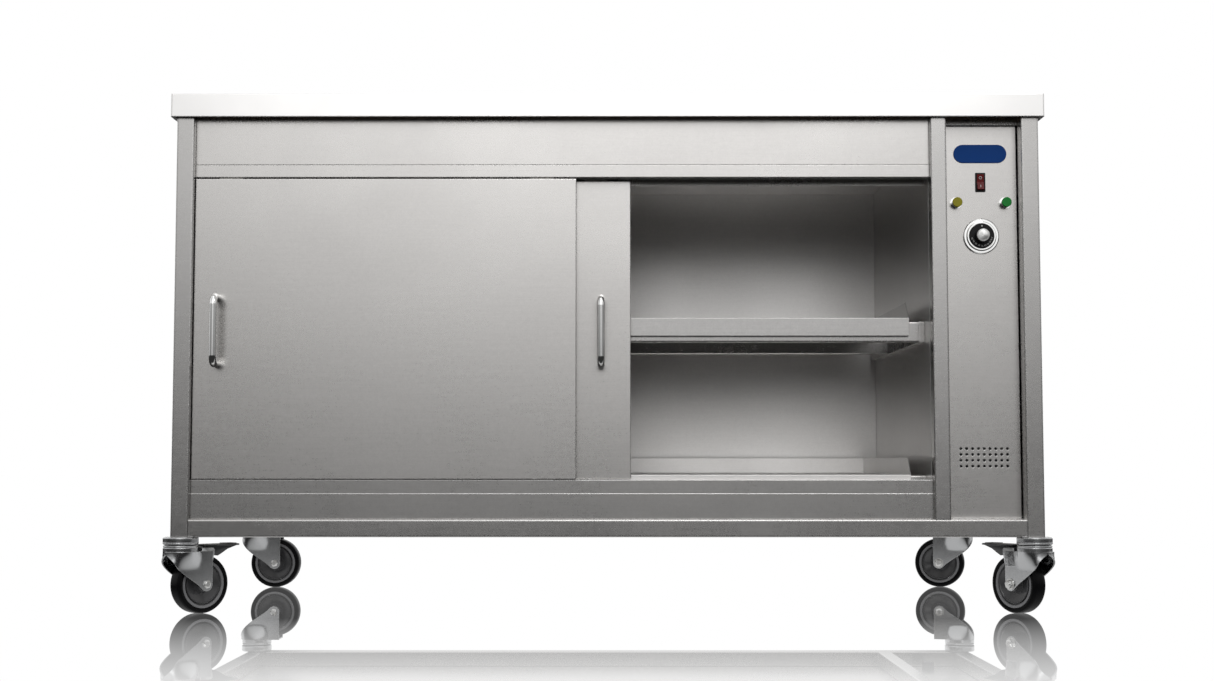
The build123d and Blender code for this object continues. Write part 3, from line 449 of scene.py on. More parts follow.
@dataclass(frozen=True)
class Turned:
    """A lathe-turned metal face, with fine rings in its bump and a painted highlight in its colour that
    fans out along the radius.
    """

    name: str
    centre: tuple[float, float, float]
    tone: Colour = (0.8, 0.8, 0.79)
    roughness: float = 0.3
    rings: float = 2600.0

    def build(self) -> bpy.types.Material:
        """Build the finish's material."""
        material, canvas, shader, place = new_material(self.name)
        centred = canvas.add("Mapping", vector_type="TEXTURE")
        canvas.feed(centred, Vector=place, Location=self.centre)
        parts = canvas.add("SeparateXYZ")
        canvas.feed(parts, Vector=centred.outputs[0])
        across = canvas.calc("POWER", parts.outputs["X"], 2.0)
        upward = canvas.calc("POWER", parts.outputs["Z"], 2.0)
        radius = canvas.calc("SQRT", canvas.calc("ADD", across, upward))
        ring = canvas.calc("SINE", canvas.calc("MULTIPLY", radius, self.rings * math.tau))
        angle = canvas.calc("ARCTAN2", parts.outputs["Z"], parts.outputs["X"])
        # Painted highlight: the colour is lighter and darker in fans around the centre.
        highlight_fan = canvas.calc("SINE", canvas.calc("MULTIPLY", angle, 2.0))
        painted_streak = canvas.remap(highlight_fan, -1.0, 1.0, 0.0, 1.0)
        base = canvas.blend(painted_streak, shade(self.tone, 0.62), shade(self.tone, 1.2))
        relief = canvas.add("Bump")
        canvas.feed(relief, Strength=0.15, Distance=0.0001, Height=ring)
        rough = canvas.remap(ring, -1.0, 1.0, self.roughness, self.roughness + 0.1)
        canvas.feed(shader, Base_Color=base, Roughness=rough, Normal=relief.outputs[0], Metallic=1.0)
        return material


def cap_centre() -> tuple[float, float, float]:
    """Find the middle of the dial's cap."""
    low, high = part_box("knob_cap")
    return tuple((low + high) / 2)


class Finish(Enum):
    """The cabinet's finishes."""

    # Each finish's edge width and edge strength set its painted edge highlight.
    PANEL = SheetMetal("satin_steel_panel", tone=(0.635, 0.62, 0.605), roughness=0.27, edge=0.0018, rub=0.9)
    # Darker copy of the panel steel: painted shade on the lower fascia and bottom track.
    LOW_PANEL = SheetMetal("satin_steel_low_shaded", tone=(0.51, 0.5, 0.49), roughness=0.27, edge=0.0018, rub=0.9)
    TRAY = SheetMetal("satin_steel_tray", tone=(0.58, 0.57, 0.56), roughness=0.34, mottle=0.13)
    TOP = SheetMetal(
        "satin_steel_top", tone=(0.86, 0.85, 0.84), roughness=0.22, mottle=0.03, draw=0.5, edge=0.002,
        bump=0.004,
    )
    FRAME = SheetMetal(
        "satin_steel_tube", tone=(0.52, 0.51, 0.5), roughness=0.25, mottle=0.08, edge=0.002, rub=0.85,
    )
    # Paler copy of the satin steel: painted light that brightens the liners, partition and deck inside.
    LINING = SheetMetal("satin_steel_lining_lit", tone=(0.86, 0.845, 0.83), roughness=0.36, mottle=0.06)
    POLISHED = SheetMetal(
        "polished_steel", tone=(0.86, 0.86, 0.85), roughness=0.07, mottle=0.02, gloss_swing=0.03,
        bump=0.008, rub=0.1, edge=0.0004, soil=0.02, draw=0.1,
    )
    PLATED = SheetMetal(
        "bright_zinc", tone=(0.42, 0.425, 0.43), roughness=0.2, mottle=0.08, gloss_swing=0.06,
        fine=500.0, coarse=90.0, draw=0.0, bump=0.03, edge=0.0008, rub=0.5,
    )
    ELEMENT = SheetMetal("heater_sheath", tone=(0.24, 0.2, 0.17), roughness=0.55, mottle=0.3, rub=0.2)
    SCREW = SheetMetal("screw_steel", tone=(0.58, 0.58, 0.57), roughness=0.22, edge=0.0004, rub=0.4)
    CAP = Turned("turned_aluminium", cap_centre())
    TYRE = Moulded(
        "tyre_rubber", (0.003, 0.003, 0.0034), roughness=0.36, speckle=0.3, grain=700.0, rub=0.03,
        gleam=1.15,
    )
    WHEEL = Moulded("wheel_plastic", (0.045, 0.045, 0.047), roughness=0.2, speckle=0.1, gleam=1.5)
    # Paler copy of the wheel plastic: painted light on the wheel's outer ring.
    RIM = Moulded("wheel_rim_plastic_lit", (0.15, 0.15, 0.155), roughness=0.3, speckle=0.08, gleam=1.4)
    PEDAL = Moulded("pedal_enamel", (0.03, 0.03, 0.031), roughness=0.3, speckle=0.15)
    BLACK = Moulded("black_plastic", (0.008, 0.008, 0.009), roughness=0.35, gleam=1.3)
    INK = Moulded("white_print", (0.82, 0.82, 0.8), roughness=0.5, speckle=0.03, bump=0.02)
    RED = Moulded("red_rocker", (0.12, 0.003, 0.004), roughness=0.22, speckle=0.05, bump=0.02, gleam=1.25)
    YELLOW = Moulded("yellow_lens", (0.3, 0.27, 0.012), roughness=0.25, speckle=0.08, bump=0.02, gleam=1.3)
    GREEN = Moulded("green_lens", (0.006, 0.22, 0.03), roughness=0.25, speckle=0.08, bump=0.02, gleam=1.3)
    BADGE = Moulded("blue_enamel", (0.004, 0.052, 0.24), roughness=0.4, speckle=0.04, bump=0.01, gleam=1.2)
    NYLON = Moulded("white_nylon", (0.72, 0.71, 0.67), roughness=0.45, speckle=0.03)
    WOOL = Fibrous("mineral_wool", (0.62, 0.57, 0.4), (0.4, 0.36, 0.24))
    BOARD = Fibrous("top_board", (0.5, 0.36, 0.22), (0.33, 0.22, 0.13), (0.08, 1.0, 1.0), 90.0)


_built: dict[Finish, bpy.types.Material] = {}


def dress(objects: Iterable[bpy.types.Object], finish: Finish) -> None:
    """Give objects a finish.

    Args:
        objects: The objects to dress.
        finish: The finish that they get.
    """
    if finish not in _built:
        _built[finish] = finish.value.build()
    for item in objects:
        item.data.materials.clear()
        item.data.materials.append(_built[finish])


def nodes(*names: str) -> list[bpy.types.Object]:
    """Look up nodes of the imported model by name."""
    return [frame["nodes"][name] for name in names]


CORNERS = ("front_left", "front_right", "rear_left", "rear_right")

DRESS_PLAN: dict[Finish, tuple[str, ...]] = {
    Finish.TOP: ("worktop",),
    Finish.BOARD: ("worktop_core",),
    Finish.FRAME: (
        "front_left_post", "front_right_post", "rear_posts", "centre_post", "front_bottom_rail",
        "frame_rails", "tray_supports",
    ),
    Finish.PANEL: (
        "side_panels", "back_panel", "base_pan", "upper_fascia", "top_track", "control_panel",
        "front_door_skin", "rear_door_skin", "front_door_liner", "rear_door_liner",
    ),
    # Lower fascia and bottom track get the darker steel as painted shade.
    Finish.LOW_PANEL: ("lower_fascia", "bottom_track"),
    # The inside gets the paler steel as painted light.
    Finish.LINING: ("cavity_liners", "partition_panel", "bottom_deck"),
    Finish.TRAY: ("middle_shelf",),
    Finish.WOOL: ("insulation_slabs", "front_door_insulation", "rear_door_insulation"),
    Finish.ELEMENT: ("heating_elements",),
    Finish.POLISHED: ("front_door_handle", "rear_door_handle", "thermostat_bezel", "lamp_bezels"),
    Finish.PLATED: ("caster_heads",) + tuple(f"{corner}_fork" for corner in CORNERS),
    Finish.PEDAL: ("front_left_brake_pedal", "front_right_brake_pedal"),
    Finish.WHEEL: tuple(f"{corner}_hub" for corner in CORNERS),
    Finish.TYRE: tuple(f"{corner}_tyre" for corner in CORNERS),
    Finish.BLACK: ("rocker_housing", "control_knob", "thermostat_body", "terminal_block", "cable_gland"),
    Finish.RED: ("rocker",),
    Finish.YELLOW: ("yellow_lens",),
    Finish.GREEN: ("green_lens",),
    Finish.BADGE: ("panel_badge",),
    Finish.NYLON: ("front_door_guides", "rear_door_guides"),
    Finish.CAP: ("knob_cap",),
}


# ---- Shaping new pieces --------------------------------------------------------------------------


class Blank:
    """One new piece while it is being shaped."""

    def __init__(self, name: str) -> None:
        """Start an empty piece."""
        self.name = name
        self.mesh = bmesh.new()

    def turn(
        self,
        profile: Sequence[tuple[float, float]],
        centre: Vector,
        axis: Vector,
        closed: bool = False,
        steps: int = 72,
    ) -> None:
        """Turn an outline about an axis.

        Args:
            profile: Points as (radius, distance along the axis), in millimetres.
            centre: The point of the axis that distances are measured from.
            axis: The axis's direction.
            closed: Whether the last point joins the first.
            steps: How many steps make the turn.
        """
        out = axis.orthogonal().normalized()
        rim = [
            self.mesh.verts.new(centre + out * radius * MM + axis * along * MM)
            for radius, along in profile
        ]
        pairs = list(zip(rim, rim[1:]))
        if closed:
            pairs.append((rim[-1], rim[0]))
        wires = [self.mesh.edges.new(pair) for pair in pairs]
        bmesh.ops.spin(
            self.mesh, geom=rim + wires, cent=centre, axis=axis, dvec=(0.0, 0.0, 0.0),
            angle=math.tau, steps=steps, use_merge=True,
        )

    def plate(
        self, outline: Sequence[Vector], rise: Vector, rounding: float = 0.0, segments: int = 2
    ) -> None:
        """Extrude a flat outline and round its edges.

        Args:
            outline: The corners of the outline, in order.
            rise: How far and which way it is extruded.
            rounding: Radius of the rounded edges, in millimetres.
            segments: Steps in each rounded edge.
        """
        face = self.mesh.faces.new([self.mesh.verts.new(corner) for corner in outline])
        grown = bmesh.ops.extrude_face_region(self.mesh, geom=[face])["geom"]
        moved = [item for item in grown if isinstance(item, bmesh.types.BMVert)]
        bmesh.ops.translate(self.mesh, verts=moved, vec=rise)
        if rounding:
            corners = set(moved) | set(face.verts)
            edges = [edge for edge in self.mesh.edges if corners.issuperset(edge.verts)]
            bmesh.ops.bevel(
                self.mesh, geom=edges, offset=rounding * MM, segments=segments, profile=0.5,
                affect="EDGES", material=-1, clamp_overlap=True,
            )

    def sheet(
        self, across: int, down: int, where: Callable[[float, float], Vector], thickness: float
    ) -> None:
        """Press a grid into a curved sheet and give it a thickness.

        Args:
            across: Steps along the first direction.
            down: Steps along the second.
            where: Gives a point for two shares from 0 to 1.
            thickness: The wall, in millimetres, on the side that the faces look away from.
        """
        made = bmesh.ops.create_grid(self.mesh, x_segments=across, y_segments=down, size=0.5)["verts"]
        for corner in made:
            corner.co = where(corner.co.x + 0.5, corner.co.y + 0.5)
        faces = list({face for corner in made for face in corner.link_faces})
        bmesh.ops.recalc_face_normals(self.mesh, faces=faces)
        bmesh.ops.solidify(self.mesh, geom=faces, thickness=thickness * MM)

    def letters(self, text: str, size: float, place: Matrix) -> None:
        """Add thin raised characters.

        Args:
            text: The characters.
            size: Their height, in millimetres.
            place: Where they go; they are drawn in the XY plane of this matrix.
        """
        curve = bpy.data.curves.new(self.name + "_type", "FONT")
        curve.body = text
        curve.size = size * MM
        curve.extrude = 0.06 * MM
        curve.align_x = "CENTER"
        curve.align_y = "CENTER"
        holder = bpy.data.objects.new(self.name + "_type", curve)
        data = bpy.data.meshes.new_from_object(holder)
        data.transform(place)
        self.mesh.from_mesh(data)
        bpy.data.objects.remove(holder)
        bpy.data.curves.remove(curve)
        bpy.data.meshes.remove(data)

    def fit(self, body: str, finish: Finish, slot: str, *replaced: str) -> bpy.types.Object:
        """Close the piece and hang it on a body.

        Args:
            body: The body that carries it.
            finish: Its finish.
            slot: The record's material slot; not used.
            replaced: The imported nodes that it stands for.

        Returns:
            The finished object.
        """
        bmesh.ops.remove_doubles(self.mesh, verts=self.mesh.verts, dist=0.000002)
        bmesh.ops.recalc_face_normals(self.mesh, faces=self.mesh.faces)
        data = bpy.data.meshes.new(self.name)
        self.mesh.to_mesh(data)
        self.mesh.free()
        data.shade_smooth()
        data.set_sharp_from_angle(angle=math.radians(32))
        piece = bpy.data.objects.new(self.name, data)
        bpy.context.scene.collection.objects.link(piece)
        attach(piece, body)
        if replaced:
            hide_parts(*replaced)
        dress([piece], finish)
        LOG.info("%s on %s: %d faces", self.name, body, len(data.polygons))
        return piece


def joint(name: str) -> dict:
    """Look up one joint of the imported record."""
    return next(one for one in frame["record"]["behaviour"]["joints"] if one["name"] == name)


UP = Vector((0.0, 0.0, 1.0))
FRONT = Vector((0.0, -1.0, 0.0))


# ---- Casters -------------------------------------------------------------------------------------


@dataclass
class Caster:
    """One swivel caster: bearing head, pressed fork, axle bolt, wheel and, in front, a brake pedal."""

    corner: str
    trail: float = 38.0
    axle_height: float = 50.0
    crown_low: float = 106.5
    crown_high: float = 117.5
    head_radius: float = 30.0
    cheek: float = 20.0
    wall: float = 2.6
    boss: float = 11.5
    flare_start: float = 76.0

    def __post_init__(self) -> None:
        """Find the caster's own directions."""
        swivel = Vector(joint(f"{self.corner}_swivel")["pos_m"])
        axle = Vector(joint(f"{self.corner}_roll")["pos_m"])
        self.foot = Vector((swivel.x, swivel.y, 0.0))
        self.axle = axle
        self.out = Vector((axle.x - swivel.x, axle.y - swivel.y, 0.0)).normalized()
        self.across = UP.cross(self.out)
        self.braked = self.corner.startswith("front")

    def at(self, out: float, across: float, height: float) -> Vector:
        """Turn the caster's own millimetres into a point of the frame."""
        return self.foot + (self.out * out + self.across * across + UP * height) * MM

    def lead(self, share: float) -> tuple[float, float]:
        """Find a point on the fork's swept front edge, from the crown at 0 to the boss at 1."""
        half = self.boss * math.sin(math.radians(45))
        start, end = (-self.head_radius, self.crown_low), (self.trail - half, self.axle_height - half)
        first, second = (start[0] + 0.5, 72.0), (end[0] - 22.0, end[1] + 22.0)
        rest = 1.0 - share
        weights = (rest**3, 3 * rest * rest * share, 3 * rest * share * share, share**3)
        points = (start, first, second, end)
        return tuple(sum(weight * point[axis] for weight, point in zip(weights, points)) for axis in (0, 1))

    def half_width(self, out: float, height: float) -> float:
        """Find how far a cheek stands from the middle at one place."""
        radius = self.head_radius - 0.4
        plan = math.sqrt(max(0.0, radius**2 - out**2))
        if out >= 0:
            plan = max(self.cheek, plan)
        rise = min(1.0, max(0.0, (height - self.flare_start) / (self.crown_low - self.flare_start)))
        flare = rise * rise * (3 - 2 * rise)
        return self.cheek + (plan - self.cheek) * flare

    def cheek_point(self, side: int, along: float, down: float) -> Vector:
        """Place one grid point of a cheek, from its front edge to its back edge and down to the boss."""
        turn = 0.72
        if down < turn:
            front = self.lead(down / turn)
            drop = (self.axle_height - self.crown_low) * down / turn
            back = (self.trail + self.boss, self.crown_low + drop)
        else:
            sweep = (down - turn) / (1 - turn)
            left = math.radians(225 + 45 * sweep)
            right = math.radians(360 - 90 * sweep)
            front = (
                self.trail + self.boss * math.cos(left), self.axle_height + self.boss * math.sin(left),
            )
            back = (
                self.trail + self.boss * math.cos(right), self.axle_height + self.boss * math.sin(right),
            )
        out = front[0] + (back[0] - front[0]) * along
        height = front[1] + (back[1] - front[1]) * along
        return self.at(out, side * self.half_width(out, height), height)

    def build_head(self) -> None:
        """Turn the two-ring bearing head under the frame."""
        blank = Blank(f"{self.corner}_bearing_head")
        radius, low, high = self.head_radius, self.crown_high + 1.0, self.crown_high + 13.5
        pin = self.crown_low
        blank.turn(
            [
                (0, high), (radius - 3, high), (radius - 1, high - 0.6), (radius, high - 2),
                (radius, high - 4),
                (radius - 0.9, high - 5.2), (radius - 3, high - 5.6), (radius - 3.2, high - 6.4),
                (radius - 2.6, high - 7), (radius - 0.7, high - 7.4), (radius, high - 8.6),
                (radius, low + 1.6), (radius - 1, low + 0.4), (radius - 4, low), (6, low), (6, pin - 5),
                (9, pin - 5), (9, pin - 9), (5, pin - 10), (0, pin - 10),
            ],
            self.foot, UP,
        )
        blank.fit("cabinet", Finish.PLATED, "zinc_plate")

    def build_fork(self) -> None:
        """Press the fork's crown and its two swept cheeks."""
        blank = Blank(f"{self.corner}_pressed_fork")
        radius, low, high = self.head_radius, self.crown_low, self.crown_high
        blank.turn(
            [
                (6.2, low), (radius - 0.4, low), (radius - 0.4, high - 5), (radius - 1.4, high - 3.8),
                (radius - 0.6, high - 2.6), (radius - 0.8, high - 0.8), (radius - 3, high), (6.2, high),
            ],
            self.foot, UP, closed=True,
        )
        for side in (-1, 1):
            place = partial(self.cheek_point, side)
            blank.sheet(18, 30, place, self.wall)
        back = self.trail + self.boss
        reach = self.trail + 3.0 if self.braked else back
        plan = ((12, -18), (reach, -18), (reach, 18), (12, 18))
        bridge = [self.at(out, across, low - 2.6) for out, across in plan]
        blank.plate(bridge, UP * 2.6 * MM, 0.4)
        if self.braked:
            for side in (-1, 1):
                inner = side * (self.cheek - self.wall)
                ear = [(26, 80), (back, 80), (55, 104), (55, 109), (52, 112), (30, 112)]
                outline = [self.at(out, inner, height) for out, height in ear]
                blank.plate(outline, self.across * side * self.wall * MM, 0.5)
        blank.fit(f"{self.corner}_caster", Finish.PLATED, "zinc_plate", f"{self.corner}_fork")

    def build_axle(self) -> None:
        """Make the axle bolt with its washers, head and nut."""
        blank = Blank(f"{self.corner}_axle_bolt")
        face = self.cheek
        for side, height in ((-1, 4.4), (1, 5.2)):
            along = self.across * side
            end = face + height
            blank.turn(
                [(5, face), (9.6, face), (9.8, face + 0.3), (9.6, face + 1.3), (5, face + 1.3)],
                self.axle, along, closed=True, steps=40,
            )
            ring = []
            for step in range(6):
                angle = math.radians(60 * step + 12)
                spoke = self.out * math.cos(angle) + UP * math.sin(angle)
                ring.append(self.axle + spoke * 7.6 * MM + along * (self.cheek + 1.2) * MM)
            blank.plate(ring, along * height * MM, 0.7)
            blank.turn(
                [(0, -face), (4.9, -face), (4.9, end + 1.6), (4.1, end + 2.4), (0, end + 2.4)],
                self.axle, along, steps=32,
            )
        blank.fit(f"{self.corner}_caster", Finish.SCREW, "zinc_plate")

    def build_wheel(self) -> None:
        """Turn the tyre and the ringed, dished wheel."""
        tyre = Blank(f"{self.corner}_ground_tyre")
        side = [(41.2, 12.4), (42.4, 14.0), (45.6, 14.8), (48.4, 13.4), (49.7, 10.4), (50.0, 6.4)]
        ring = side + [(radius, -along) for radius, along in reversed(side)]
        tyre.turn(ring + [(40.0, -11.0), (40.0, 11.0)], self.axle, self.across, closed=True, steps=112)
        tyre.fit(f"{self.corner}_wheel", Finish.TYRE, "tyre_rubber", f"{self.corner}_tyre")
        wheel = Blank(f"{self.corner}_dished_wheel")
        face = [
            (5.1, 16.5), (10.6, 16.5), (12.4, 15.6), (13.6, 12.0), (14.6, 9.4), (16.4, 6.4), (31.0, 11.4),
            (31.8, 12.4), (32.7, 12.4), (33.3, 11.6), (33.7, 8.4), (35.4, 8.4),
        ]
        wheel.turn(
            face + [(radius, -along) for radius, along in reversed(face)],
            self.axle, self.across, closed=True, steps=112,
        )
        wheel.fit(f"{self.corner}_wheel", Finish.WHEEL, "wheel_plastic", f"{self.corner}_hub")
        rim = Blank(f"{self.corner}_wheel_rim")
        band = [(35.6, 8.6), (36.2, 12.6), (37.2, 13.4), (40.4, 13.4), (41.1, 12.8), (41.1, 10.8)]
        rim.turn(
            band + [(radius, -along) for radius, along in reversed(band)],
            self.axle, self.across, closed=True, steps=112,
        )
        # The outer ring gets the paler wheel plastic as painted light.
        rim.fit(f"{self.corner}_wheel", Finish.RIM, "wheel_plastic")

    def build_pedal(self) -> None:
        """Shape the brake pedal, its lug and its ribbed toe pad."""
        blank = Blank(f"{self.corner}_toe_pedal")
        half = [(35, -17), (58, -22), (98, -20), (108, -16), (112, -9)]
        plan = half + [(out, -across) for out, across in reversed(half)]
        blank.plate([self.at(out, across, 114.2) for out, across in plan], UP * 2.8 * MM, 0.8)
        lug = [(45, 114.6), (45, 104.5), (50, 102.4), (64, 97.4), (72, 101.5), (84, 108.5), (104, 114.6)]
        blank.plate([self.at(out, -16.3, height) for out, height in lug], self.across * 32.6 * MM, 0.8)
        for count in range(5):
            start = 88.0 + 4.2 * count
            reach = 15.0 - count * 1.4
            rib = [(start, -reach), (start + 2.2, -reach), (start + 2.2, reach), (start, reach)]
            blank.plate([self.at(out, across, 116.6) for out, across in rib], UP * 1.6 * MM, 0.4)
        blank.fit(f"{self.corner}_brake", Finish.PEDAL, "zinc_plate", f"{self.corner}_brake_pedal")

    def build(self) -> None:
        """Build the whole caster."""
        self.build_head()
        self.build_fork()
        self.build_axle()
        self.build_wheel()
        if self.braked:
            self.build_pedal()


# ---- Controls ------------------------------------------------------------------------------------


@dataclass
class Dial:
    """The thermostat dial's printed scale and turned cap."""

    scale_radius: float = 17.2
    first: int = 30
    last: int = 110
    step: int = 10
    start_angle: float = 196.0
    end_angle: float = 344.0
    figure: float = 3.7

    def build(self) -> None:
        """Print the scale on the skirt and turn the cap."""
        low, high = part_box("knob_cap")
        middle = (low + high) / 2
        foot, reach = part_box("thermostat_bezel")[1].y, high.x - middle.x
        skirt = foot - 8.65 * MM
        print_ring = Blank("dial_scale")
        values = list(range(self.first, self.last + 1, self.step))
        for count, value in enumerate(values):
            share = count / (len(values) - 1)
            angle = math.radians(self.start_angle + (self.end_angle - self.start_angle) * share)
            spoke = Vector((math.cos(angle), 0.0, math.sin(angle)))
            place = Vector((middle.x, skirt, middle.z)) + spoke * self.scale_radius * MM
            upright = Matrix.Rotation(math.radians(90), 4, "X")
            lean = Matrix.Rotation(math.radians(90) - angle, 4, "Y")
            print_ring.letters(str(value), self.figure, Matrix.Translation(place) @ lean @ upright)
        index = Vector((middle.x, skirt + 0.06 * MM, middle.z + self.scale_radius * MM))
        corners = ((-1.1, -1.1), (1.1, -1.1), (1.1, 1.1), (-1.1, 1.1))
        square = [index + Vector((x * MM, 0.0, z * MM)) for x, z in corners]
        print_ring.plate(square, FRONT * 0.12 * MM)
        print_ring.fit("control_knob", Finish.INK, "black_plastic")
        cap = Blank("turned_cap")
        radius = reach / MM
        cap.turn(
            [
                (0, 1.45), (radius - 2.6, 1.45), (radius - 2.0, 1.2), (radius - 1.4, 1.55),
                (radius - 0.5, 1.4), (radius, 0.8), (radius, -0.05), (0, -0.05),
            ],
            Vector((middle.x, high.y, middle.z)), FRONT,
        )
        cap.fit("control_knob", Finish.CAP, "aluminium_cap", "knob_cap")


@dataclass
class RockerMarks:
    """The on and off marks printed on the power rocker."""

    tilt: float = 9.0
    rise: float = 2.0
    place: float = 7.4
    ring: float = 2.5
    stroke: float = 0.75

    def face(self, half: int) -> Matrix:
        """Find the plane of the rocker's upper face, for 1, or lower face, for -1."""
        low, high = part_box("rocker")
        pivot = Vector(joint("power_rocker_tilt")["pos_m"])
        slope = math.radians(self.tilt)
        depth = -(self.rise + self.place * math.tan(slope)) * MM
        local = Vector((0.0, depth, half * self.place * MM))
        turned = Matrix.Rotation(-slope, 4, "X")
        lean = Matrix.Rotation(half * slope, 4, "X")
        middle = Vector(((low.x + high.x) / 2, pivot.y, pivot.z))
        upright = Matrix.Rotation(math.radians(90), 4, "X")
        return Matrix.Translation(middle) @ turned @ Matrix.Translation(local) @ lean @ upright

    def build(self) -> None:
        """Print a ring on the upper face and a bar on the lower one."""
        blank = Blank("rocker_marks")
        upper = self.face(1)
        inner = self.ring - self.stroke
        blank.turn(
            [(inner, -0.05), (self.ring, -0.05), (self.ring, 0.12), (inner, 0.12)],
            upper.translation, (upper.to_3x3() @ UP).normalized(), closed=True, steps=40,
        )
        lower = self.face(-1)
        corners = ((-0.5, -2.2), (0.5, -2.2), (0.5, 2.2), (-0.5, 2.2))
        bar = [lower @ Vector((x * MM, y * MM, -0.05 * MM)) for x, y in corners]
        blank.plate(bar, (lower.to_3x3() @ UP) * 0.17 * MM)
        blank.fit("power_rocker", Finish.INK, "red_plastic")


# ---- Fasteners -----------------------------------------------------------------------------------


@dataclass
class PanelScrews:
    """Dome-headed screws that hold the side and back panels."""

    radius: float = 4.0
    rise: float = 1.6
    inset: float = 14.0
    rows: int = 4
    columns: int = 6

    def head(self, blank: Blank, place: Vector, outward: Vector) -> None:
        """Add one screw head with a socket."""
        dome = [
            (0, 0.5), (1.3, 0.5), (1.3, self.rise), (self.radius * 0.55, self.rise),
            (self.radius * 0.85, self.rise * 0.7),
            (self.radius, self.rise * 0.2), (self.radius, -0.1), (0, -0.1),
        ]
        blank.turn(dome, place, outward, steps=20)

    def build(self) -> None:
        """Set the screws along the edges of the side panels and the back panel."""
        margin = Vector((1.0, 1.0, 1.0)) * self.inset * MM
        low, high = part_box("side_panels")
        start, stop = low + margin, high - margin
        sides = Blank("side_panel_screws")
        for face, outward in ((low.x, Vector((-1.0, 0.0, 0.0))), (high.x, Vector((1.0, 0.0, 0.0)))):
            for row in range(self.rows):
                height = start.z + (stop.z - start.z) * row / (self.rows - 1)
                for depth in (start.y, stop.y):
                    self.head(sides, Vector((face, depth, height)), outward)
        sides.fit("cabinet", Finish.SCREW, "satin_steel")
        low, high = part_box("back_panel")
        start, stop = low + margin, high - margin
        rear = Blank("back_panel_screws")
        for column in range(self.columns):
            across = start.x + (stop.x - start.x) * column / (self.columns - 1)
            for height in (start.z, stop.z):
                self.head(rear, Vector((across, high.y, height)), Vector((0.0, 1.0, 0.0)))
        rear.fit("cabinet", Finish.SCREW, "satin_steel")


# ---- Studio --------------------------------------------------------------------------------------


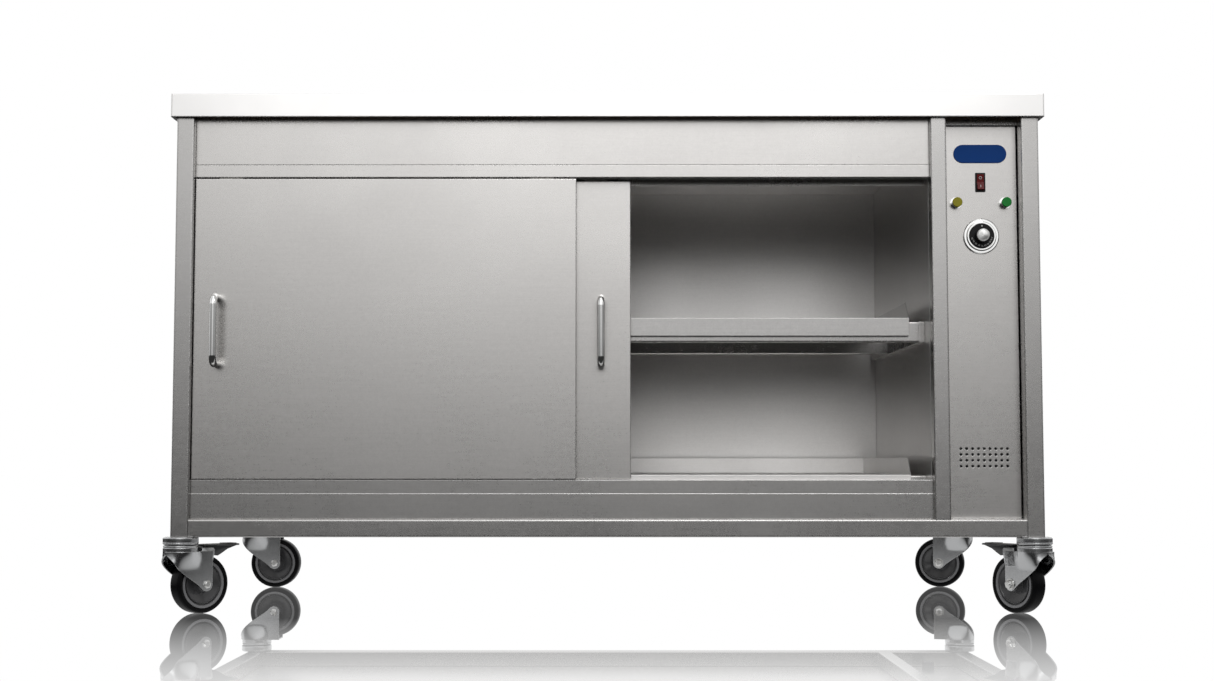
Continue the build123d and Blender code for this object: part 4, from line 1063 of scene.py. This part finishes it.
@dataclass
class Studio:
    """A white sweep, a soft overhead bank and the camera."""

    camera_offset: tuple[float, float, float] = (0.006, 2.927, 0.259)
    pitch: float = math.radians(94.012)
    turn: float = math.radians(0.131)
    lens: float = 51.18
    sensor: float = 36.0
    floor_reach: float = 30.0
    floor_ahead: float = 0.03
    floor_under: float = 0.9
    mirror_fade: tuple[float, float, float, float] = (0.4, 1.55, 0.95, 0.1)
    peak: float = 2.2
    ramp_low: float = -0.3
    ramp_high: float = 0.7
    sky: tuple[tuple[float, float], ...] = (
        (-0.3, 0.02), (-0.06, 0.03), (-0.01, 0.1), (0.05, 0.45), (0.1, 0.95), (0.15, 1.55),
        (0.28, 1.95), (0.7, 1.5),
    )
    lean: tuple[float, float, float, float] = (-0.02, 0.16, 0.15, 0.0)
    side_fall: float = 5.5
    low_fall: float = 3.5
    side_low: float = 0.42

    def build_world(self) -> None:
        """Light the cabinet from a room that is bright above and dark near the floor in front."""
        world = bpy.data.worlds.new("studio")
        bpy.context.scene.world = world
        world.use_nodes = True
        world.node_tree.nodes.clear()
        canvas = Canvas(world.node_tree)
        parts = canvas.add("SeparateXYZ")
        canvas.feed(parts, Vector=canvas.add("TexCoord").outputs["Generated"])
        ramp = canvas.add("ValToRGB")
        band = ramp.color_ramp
        span = self.ramp_low, self.ramp_high
        stops = [
            ((height - span[0]) / (span[1] - span[0]), level / self.peak) for height, level in self.sky
        ]
        band.elements[0].position = stops[0][0]
        band.elements[1].position = stops[-1][0]
        for place, _ in stops[1:-1]:
            band.elements.new(place)
        for element, (_, level) in zip(sorted(band.elements, key=lambda one: one.position), stops):
            element.color = (level, level, level, 1.0)
        canvas.feed(ramp, Fac=canvas.remap(parts.outputs["Z"], span[0], span[1], 0.0, 1.0))
        centre = canvas.remap(parts.outputs["Z"], *self.lean)
        offset = canvas.calc("SUBTRACT", parts.outputs["X"], centre)
        steep = canvas.remap(parts.outputs["Z"], 0.06, 0.16, self.low_fall, self.side_fall)
        fall = canvas.calc("MULTIPLY", canvas.calc("POWER", offset, 2.0), steep)
        fade = canvas.calc("MAXIMUM", canvas.calc("SUBTRACT", 1.0, fall), self.side_low)
        behind = canvas.remap(parts.outputs["Y"], -0.05, 0.15, 0.0, 1.0)
        lit = canvas.add("Background")
        canvas.feed(lit, Color=ramp.outputs[0], Strength=canvas.calc("MULTIPLY", fade, self.peak))
        wall = canvas.add("Background")
        canvas.feed(wall, Color=(1.0, 1.0, 1.0, 1.0), Strength=1.0)
        room = canvas.add("MixShader")
        choose = canvas.add("MixShader")
        ray = canvas.add("LightPath")
        out = canvas.add("OutputWorld")
        links = world.node_tree.links
        links.new(behind, room.inputs[0])
        links.new(lit.outputs[0], room.inputs[1])
        links.new(wall.outputs[0], room.inputs[2])
        links.new(ray.outputs["Is Camera Ray"], choose.inputs[0])
        links.new(room.outputs[0], choose.inputs[1])
        links.new(wall.outputs[0], choose.inputs[2])
        links.new(choose.outputs[0], out.inputs["Surface"])

    def build_floor(self) -> None:
        """Lay the glossy white floor, which the metal sees as dark except under the cabinet."""
        mesh = bmesh.new()
        bmesh.ops.create_grid(mesh, x_segments=2, y_segments=2, size=self.floor_reach)
        data = bpy.data.meshes.new("floor")
        mesh.to_mesh(data)
        mesh.free()
        floor = bpy.data.objects.new("floor", data)
        bpy.context.scene.collection.objects.link(floor)
        material = bpy.data.materials.new("white_floor")
        material.use_nodes = True
        material.node_tree.nodes.clear()
        canvas = Canvas(material.node_tree)
        parts = canvas.add("SeparateXYZ")
        canvas.feed(parts, Vector=canvas.add("TexCoord").outputs["Object"])
        beside = canvas.remap(canvas.calc("ABSOLUTE", parts.outputs["X"]), 0.7, 0.95, 1.0, 0.0)
        ahead = canvas.remap(parts.outputs["Y"], -0.5, -0.3, 0.0, 1.0)
        under = canvas.calc("MULTIPLY", beside, ahead)
        seen = canvas.remap(under, 0.0, 1.0, self.floor_ahead, self.floor_under)
        ray = canvas.add("LightPath")
        strength = canvas.calc("MAXIMUM", seen, ray.outputs["Is Camera Ray"])
        glow = canvas.add("Emission")
        canvas.feed(glow, Color=(1.0, 1.0, 1.0, 1.0), Strength=strength)
        mirror = canvas.add("BsdfGlossy")
        canvas.feed(mirror, Color=(1.0, 1.0, 1.0, 1.0), Roughness=0.0)
        mix = canvas.add("MixShader")
        out = canvas.add("OutputMaterial")
        links = material.node_tree.links
        near = canvas.remap(canvas.calc("ABSOLUTE", parts.outputs["Y"]), *self.mirror_fade)
        share = canvas.calc("MULTIPLY", ray.outputs["Is Camera Ray"], near)
        links.new(share, mix.inputs[0])
        links.new(glow.outputs[0], mix.inputs[1])
        links.new(mirror.outputs[0], mix.inputs[2])
        links.new(mix.outputs[0], out.inputs["Surface"])
        data.materials.append(material)

    def add_bank(
        self,
        name: str,
        place: Sequence[float],
        aim: Sequence[float],
        size: tuple[float, float],
        watts: float,
    ) -> None:
        """Hang one rectangular light.

        Args:
            name: The light's name.
            place: Where it hangs.
            aim: The point that it faces.
            size: Its width and height.
            watts: Its power.
        """
        lamp = bpy.data.lights.new(name, "AREA")
        lamp.shape = "RECTANGLE"
        lamp.size, lamp.size_y = size
        lamp.energy = watts
        holder = bpy.data.objects.new(name, lamp)
        bpy.context.scene.collection.objects.link(holder)
        holder.location = place
        holder.rotation_euler = (Vector(aim) - Vector(place)).to_track_quat("-Z", "Y").to_euler()

    def build_camera(self) -> None:
        """Set the camera low in front of the doors, looking slightly up."""
        data = bpy.data.cameras.new("camera")
        data.lens = self.lens
        data.sensor_width = self.sensor
        data.clip_end = 200.0
        camera = bpy.data.objects.new("camera", data)
        bpy.context.scene.collection.objects.link(camera)
        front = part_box("worktop")[0].y
        across, back, height = self.camera_offset
        camera.location = (across, front - back, height)
        camera.rotation_euler = (self.pitch, 0.0, self.turn)
        bpy.context.scene.camera = camera

    def build(self) -> None:
        """Build the whole studio."""
        self.build_world()
        self.build_floor()
        self.add_bank("key_bank", (0.6, -2.4, 2.6), (0.0, 0.0, 0.5), (1.6, 1.2), 18.0)
        self.build_camera()
        scene = bpy.context.scene
        scene.view_settings.view_transform = "Standard"
        scene.view_settings.look = "None"
        LOG.info("studio built")


def main() -> None:
    """Dress the cabinet and build the studio around it."""
    logging.basicConfig(level=logging.INFO)
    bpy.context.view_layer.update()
    for finish, names in DRESS_PLAN.items():
        dress(nodes(*names), finish)
        LOG.info("%s: %d nodes", finish.name.lower(), len(names))
    for corner in CORNERS:
        Caster(corner).build()
    Dial().build()
    RockerMarks().build()
    PanelScrews().build()
    Studio().build()


if __name__ == "__main__":
    main()
